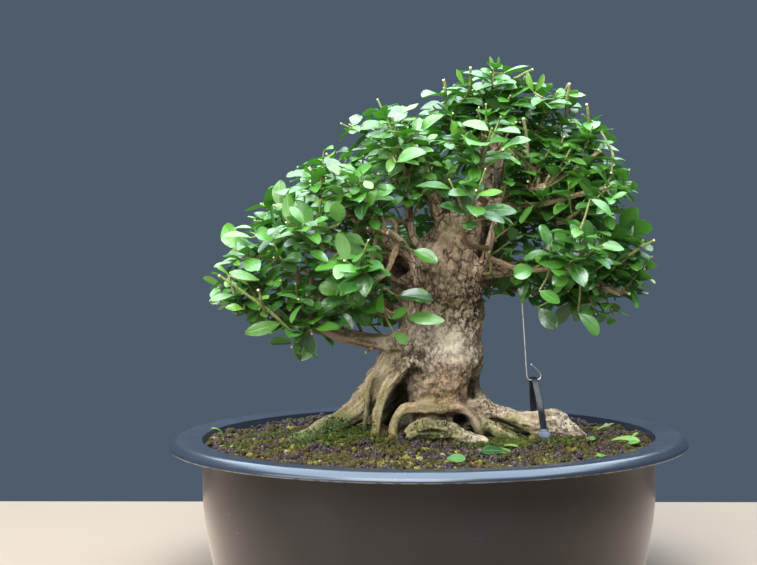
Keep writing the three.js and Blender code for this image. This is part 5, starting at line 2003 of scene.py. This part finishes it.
@dataclass
class GuyLine:
    """The steel wire that ties a branch down, and the cable tie that holds it to a root."""

    wire_radius: float = 0.5
    route: tuple[Point, ...] = (
        (67.4, 0.3, 217), (67.4, 0.3, 222), (67.4, -1.7, 226.9), (67.4, -6.4, 228.9), (67.4, -11.1, 226.9),
        (67.4, -13.1, 222), (67.5, -13.1, 216), (70, -12.6, 178), (71.9, -12, 147), (72.6, -12, 142.6),
        (74, -12, 140.9), (80.4, -12, 140.9), (82.2, -12, 142.8), (82, -12.2, 145.2), (79.4, -13, 148.4),
        (74.9, -13.8, 152.6),
    )
    strap_width: float = 4.6
    strap_thickness: float = 1.2
    head: Point = (7.6, 4.2, 6.2)
    lug: Point = (5.2, 1.0, 3.4)
    stub: Point = (4.4, 2.6, 1.3)
    head_middle: tuple[float, float] = (-25.2, 101.6)
    foot_x: float = 84.4
    foot_level: float = 98
    lean: float = 0.11
    slant: float = 0.2
    loop: Outline = (
        (-24.6, 104), (-23.8, 110), (-22.6, 120), (-19, 131), (-16, 138.6), (-13.8, 141.9), (-12, 142.6),
        (-10.2, 141.9), (-8, 138.6), (-5, 130), (-3, 121), (-2.6, 110), (-4.4, 102.8), (-8.4, 99.2),
        (-14, 98.3), (-20, 99.2), (-24.4, 101.4),
    )

    def shift(self, y: np.ndarray, z: np.ndarray) -> np.ndarray:
        """How far the tie stands to the right at a place of its plane."""
        return self.foot_x - self.lean * (z - self.foot_level) - self.slant * (y - self.head_middle[0])

    def wire(self) -> None:
        """Builds the wire."""
        draft = Draft()
        path = spline(self.route, 1.2)
        draft.add(*tube(np.column_stack([path, np.full(len(path), self.wire_radius)]), 12))
        placed(draft.piece("wire_line", [SteelWire().material()]), "steel_wire", "guy_wire")

    def tie(self) -> None:
        """Builds the tie: a strap with fine teeth on its inner face, and a head with the strap's end."""
        path = spline([(0, y, z) for y, z in self.loop], 0.45)
        forward, _, _ = path_frames(path)
        side = np.array([1.0, 0, 0])
        out = np.cross(forward, side)
        w, h = self.strap_width / 2, self.strap_thickness / 2
        section = [(w, -h * 0.4), (w, h * 0.4), (w - 0.4, h), (0.55 * w, h), (0.5 * w, h * 0.8),
                   (-0.5 * w, h * 0.8), (-0.55 * w, h), (0.4 - w, h), (-w, h * 0.4), (-w, -h * 0.4),
                   (0.4 - w, -h), (w - 0.4, -h)]
        teeth = 0.12 * (np.arange(len(path)) % 3 == 0)
        points = np.array([
            [at + side * x + normal * (z + tooth * (abs(x) < 0.6 * w and z > 0)) for x, z in section]
            for at, normal, tooth in zip(path, out, teeth)
        ])
        draft = Draft()
        draft.add(points.reshape(-1, 3), tube_faces(len(path), len(section)))
        head = self.block(self.head, 0.7) + (0, *self.head_middle)
        draft.add(head, tube_faces(6, 12))
        y, z = self.head_middle
        lug = self.block(self.lug, 0.3) + (0, y - self.head[1] / 2 - 0.3, z)
        draft.add(lug, tube_faces(6, 12))
        stub = self.block(self.stub, 0.25) + (0, y - 2.6, z - 1.2)
        draft.add(stub, tube_faces(6, 12))
        for rows in draft.points:
            rows[:, 0] += self.shift(rows[:, 1], rows[:, 2])
        placed(draft.piece("tie_strap", [TiePlastic().material()], 35), "black_plastic", "cable_tie")

    @staticmethod
    def block(size: Point, bevel: float) -> np.ndarray:
        """The points of a block with rounded edges, as six rings of twelve up its height.

        Args:
            size: Its width, depth and height.
            bevel: How far its edges are rounded.

        Returns:
            The points.
        """
        x, y, z = (side / 2 for side in size)
        corners = [(x, -y), (x, y), (-x, y), (-x, -y)]
        rings = []
        for level, inset in ((-z, bevel), (-z + 0.3 * bevel, 0.3 * bevel), (-z + bevel, 0), (z - bevel, 0),
                             (z - 0.3 * bevel, 0.3 * bevel), (z, bevel)):
            for n, (cx, cy) in enumerate(corners):
                sx, sy = math.copysign(1, cx), math.copysign(1, cy)
                round_off = [(bevel, 0), (0.3 * bevel, 0.3 * bevel), (0, bevel)]
                if n % 2 == 0:
                    round_off = round_off[::-1]
                for bx, by in round_off:
                    rings.append((cx - sx * (bx + inset), cy - sy * (by + inset), level))
        return np.array(rings, float)


@dataclass
class Litter:
    """What lies on the soil: the fallen leaves, and a curled sprout that comes up at the left."""

    maker: LeafMaker = field(default_factory=LeafMaker)
    seed: int = 31
    sprout: Rows = (
        (-149.5, -16, 94, 0.5), (-150, -16, 101, 0.5), (-151.3, -16.5, 105, 0.5), (-154, -17, 107.3, 0.6),
        (-157.5, -17, 107.6, 0.75), (-158.7, -17, 107.3, 0.4),
    )
    # each fallen leaf: how far its face leans towards the front, its size, how light and how young it is
    looks: Rows = ((0.35, 0.8, 1, 0.7), (0.5, 0.95, 0, 0), (0.7, 0.66, 0.4, 0.1), (0.5, 0.6, 0.7, 0.2))
    # smaller scraps of leaf: root, tip, width, how light and how young
    scraps: tuple[tuple[Point, Point, float, float, float], ...] = (
        ((112, -38, 99), (119, -41, 101.5), 6, 0.8, 0.1), ((139, -50, 98), (149, -53, 100.5), 5, 0.8, 0.2),
        ((148, -18, 99), (153, -14, 101.5), 2.6, 1, 0.9), ((128, 34, 98), (142, 44, 100.5), 2.2, 1, 0.9),
        ((52, -64, 100), (62, -66, 100.5), 2.4, 1, 0.7),
    )

    def build(self) -> None:
        """Builds the fallen leaves, the scraps and the sprout."""
        fallen = LeafSkin("fallen_leaf_skin", (0.006, 0.045, 0.006), (0.06, 0.24, 0.03), (0.24, 0.38, 0.07),
                          (0.12, 0.24, 0.05), (0.26, 0.40, 0.12), roughness=0.5, gloss=0.35).material()
        draws = np.random.default_rng(self.seed)
        names = sorted(node for node in frame["nodes"] if node.startswith("fallen_leaf_"))
        for name, (lean, size, tone, young) in zip(names, self.looks):
            leaf = self.lying(solid_points(name), lean)
            draft = self.maker.draft()
            leaf.length *= size
            leaf.tone, leaf.young = tone, young
            self.maker.blade(draft, leaf, draws)
            piece = draft.piece(name.replace("fallen_leaf", "lying_leaf"), [fallen], LEAF_CREASE)
            placed(piece, "fallen_leaf", name)
        draft = self.maker.draft()
        for root, tip, width, tone, young in self.scraps:
            self.maker.blade(draft, SeenLeaf(root, tip, width, (0, -0.5, 0.9), young, tone).leaf(), draws)
        placed(draft.piece("leaf_scraps", [fallen], LEAF_CREASE), "fallen_leaf")
        draft = self.maker.draft()
        self.maker.twig(draft, Shoot(np.array(self.sprout), [], (0.9, 1.0), False))
        placed(draft.piece("sprout", [fallen, TwigSkin().material()]), "young_leaf")

    @staticmethod
    def lying(points: np.ndarray, lean: float) -> Leaf:
        """The leaf that a fallen leaf's solid stands for.

        Args:
            points: The solid's points.
            lean: How far its face leans towards the front.

        Returns:
            The leaf.
        """
        middle = points.mean(axis=0)
        flat = points[:, :2] - middle[:2]
        axis = np.linalg.svd(flat)[2][0]
        run = flat @ axis
        wide = np.abs(flat @ np.array([-axis[1], axis[0]]))
        if wide[run > run.max() - 0.5].max() > wide[run < run.min() + 0.5].max():
            axis, run = -axis, -run
        length = run.max() - run.min()
        root = np.array([*(middle[:2] + axis * run.min()), points[:, 2].min() + 0.6 + 5 * lean])
        along = np.array([*axis, 0.0])
        facing = UP - np.array([0, lean, 0])
        return Leaf(root, along, square_to(facing, along), float(length))


# Floor, light and camera


@dataclass
class Studio:
    """A pale floor, soft light and the photograph's camera."""

    place: Point = (-35.7, -1500, 301.3)
    pitch: float = 3.4
    roll: float = -0.45
    focal_pixels: float = 2047
    image_width: float = 757
    sensor: float = 36
    # the floor's corners
    floor: Outline = ((-2600, -3200), (2600, -3200), (2600, 154), (-2600, 438))
    surroundings: Colour = (0.078, 0.107, 0.146)
    # lights: name, place, target, size, power in watts, colour
    lights: tuple[tuple[str, Point, Point, float, float, Colour], ...] = (
        ("sky", (0, 250, 1500), (0, 0, 200), 2500, 136, (0.84, 0.93, 1.0)),
        ("window", (-350, -1200, 1300), (0, 0, 170), 1300, 58, (1.0, 0.97, 0.92)),
        ("fill", (-1400, -900, 700), (0, 0, 200), 900, 15, (1.0, 0.95, 0.9)),
    )

    def build(self) -> None:
        """Sets up the floor, the lights, the surroundings and the camera."""
        draft = Draft()
        points = np.array([(x, y, level) for level in (-12.0, -0.05) for x, y in self.floor])
        draft.add(points, tube_faces(2, len(self.floor)))
        draft.piece("floor", [FloorPaint().material()], 30)
        for name, place, target, size, power, colour in self.lights:
            lamp = bpy.data.lights.new(name, "AREA")
            lamp.energy, lamp.color, lamp.size = power, colour, size * MM
            holder = bpy.data.objects.new(name, lamp)
            holder.location = Vector(place) * MM
            holder.rotation_euler = (Vector(target) - Vector(place)).to_track_quat("-Z", "Y").to_euler()
            bpy.context.scene.collection.objects.link(holder)
        world = bpy.data.worlds.new("studio")
        world.use_nodes = True
        world.node_tree.nodes["Background"].inputs["Color"].default_value = (*self.surroundings, 1)
        bpy.context.scene.world = world
        bpy.context.scene.view_settings.view_transform = "Standard"
        self.camera()

    def camera(self) -> None:
        """Places the camera where the photograph was taken from."""
        data = bpy.data.cameras.new("camera")
        data.sensor_width = self.sensor
        data.lens = self.focal_pixels / self.image_width * self.sensor
        data.clip_end = 20
        camera = bpy.data.objects.new("camera", data)
        pitch = Matrix.Rotation(math.radians(90 - self.pitch), 4, "X")
        tilt = pitch @ Matrix.Rotation(math.radians(self.roll), 4, "Z")
        camera.matrix_world = Matrix.Translation(Vector(self.place) * MM) @ tilt
        bpy.context.scene.collection.objects.link(camera)
        bpy.context.scene.camera = camera


def corners(box: tuple[Vector, Vector]) -> list[list[float]]:
    """A box as plain lists."""
    return [list(corner) for corner in box]


def main() -> None:
    """Builds the bonsai's pieces in order."""
    logging.basicConfig(level=logging.INFO, format="%(message)s")
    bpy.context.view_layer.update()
    Studio().build()
    Bowl().build()
    wood = Wood()
    soil = Soil()
    soil.bed()
    soil.grains(wood.is_clear)
    wood.bark(wood.body())
    soil.moss(wood.is_clear, wood.mossy)
    Foliage(wood).build()
    line = GuyLine()
    line.wire()
    line.tie()
    Litter().build()
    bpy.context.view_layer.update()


if __name__ == "__main__":
    main()
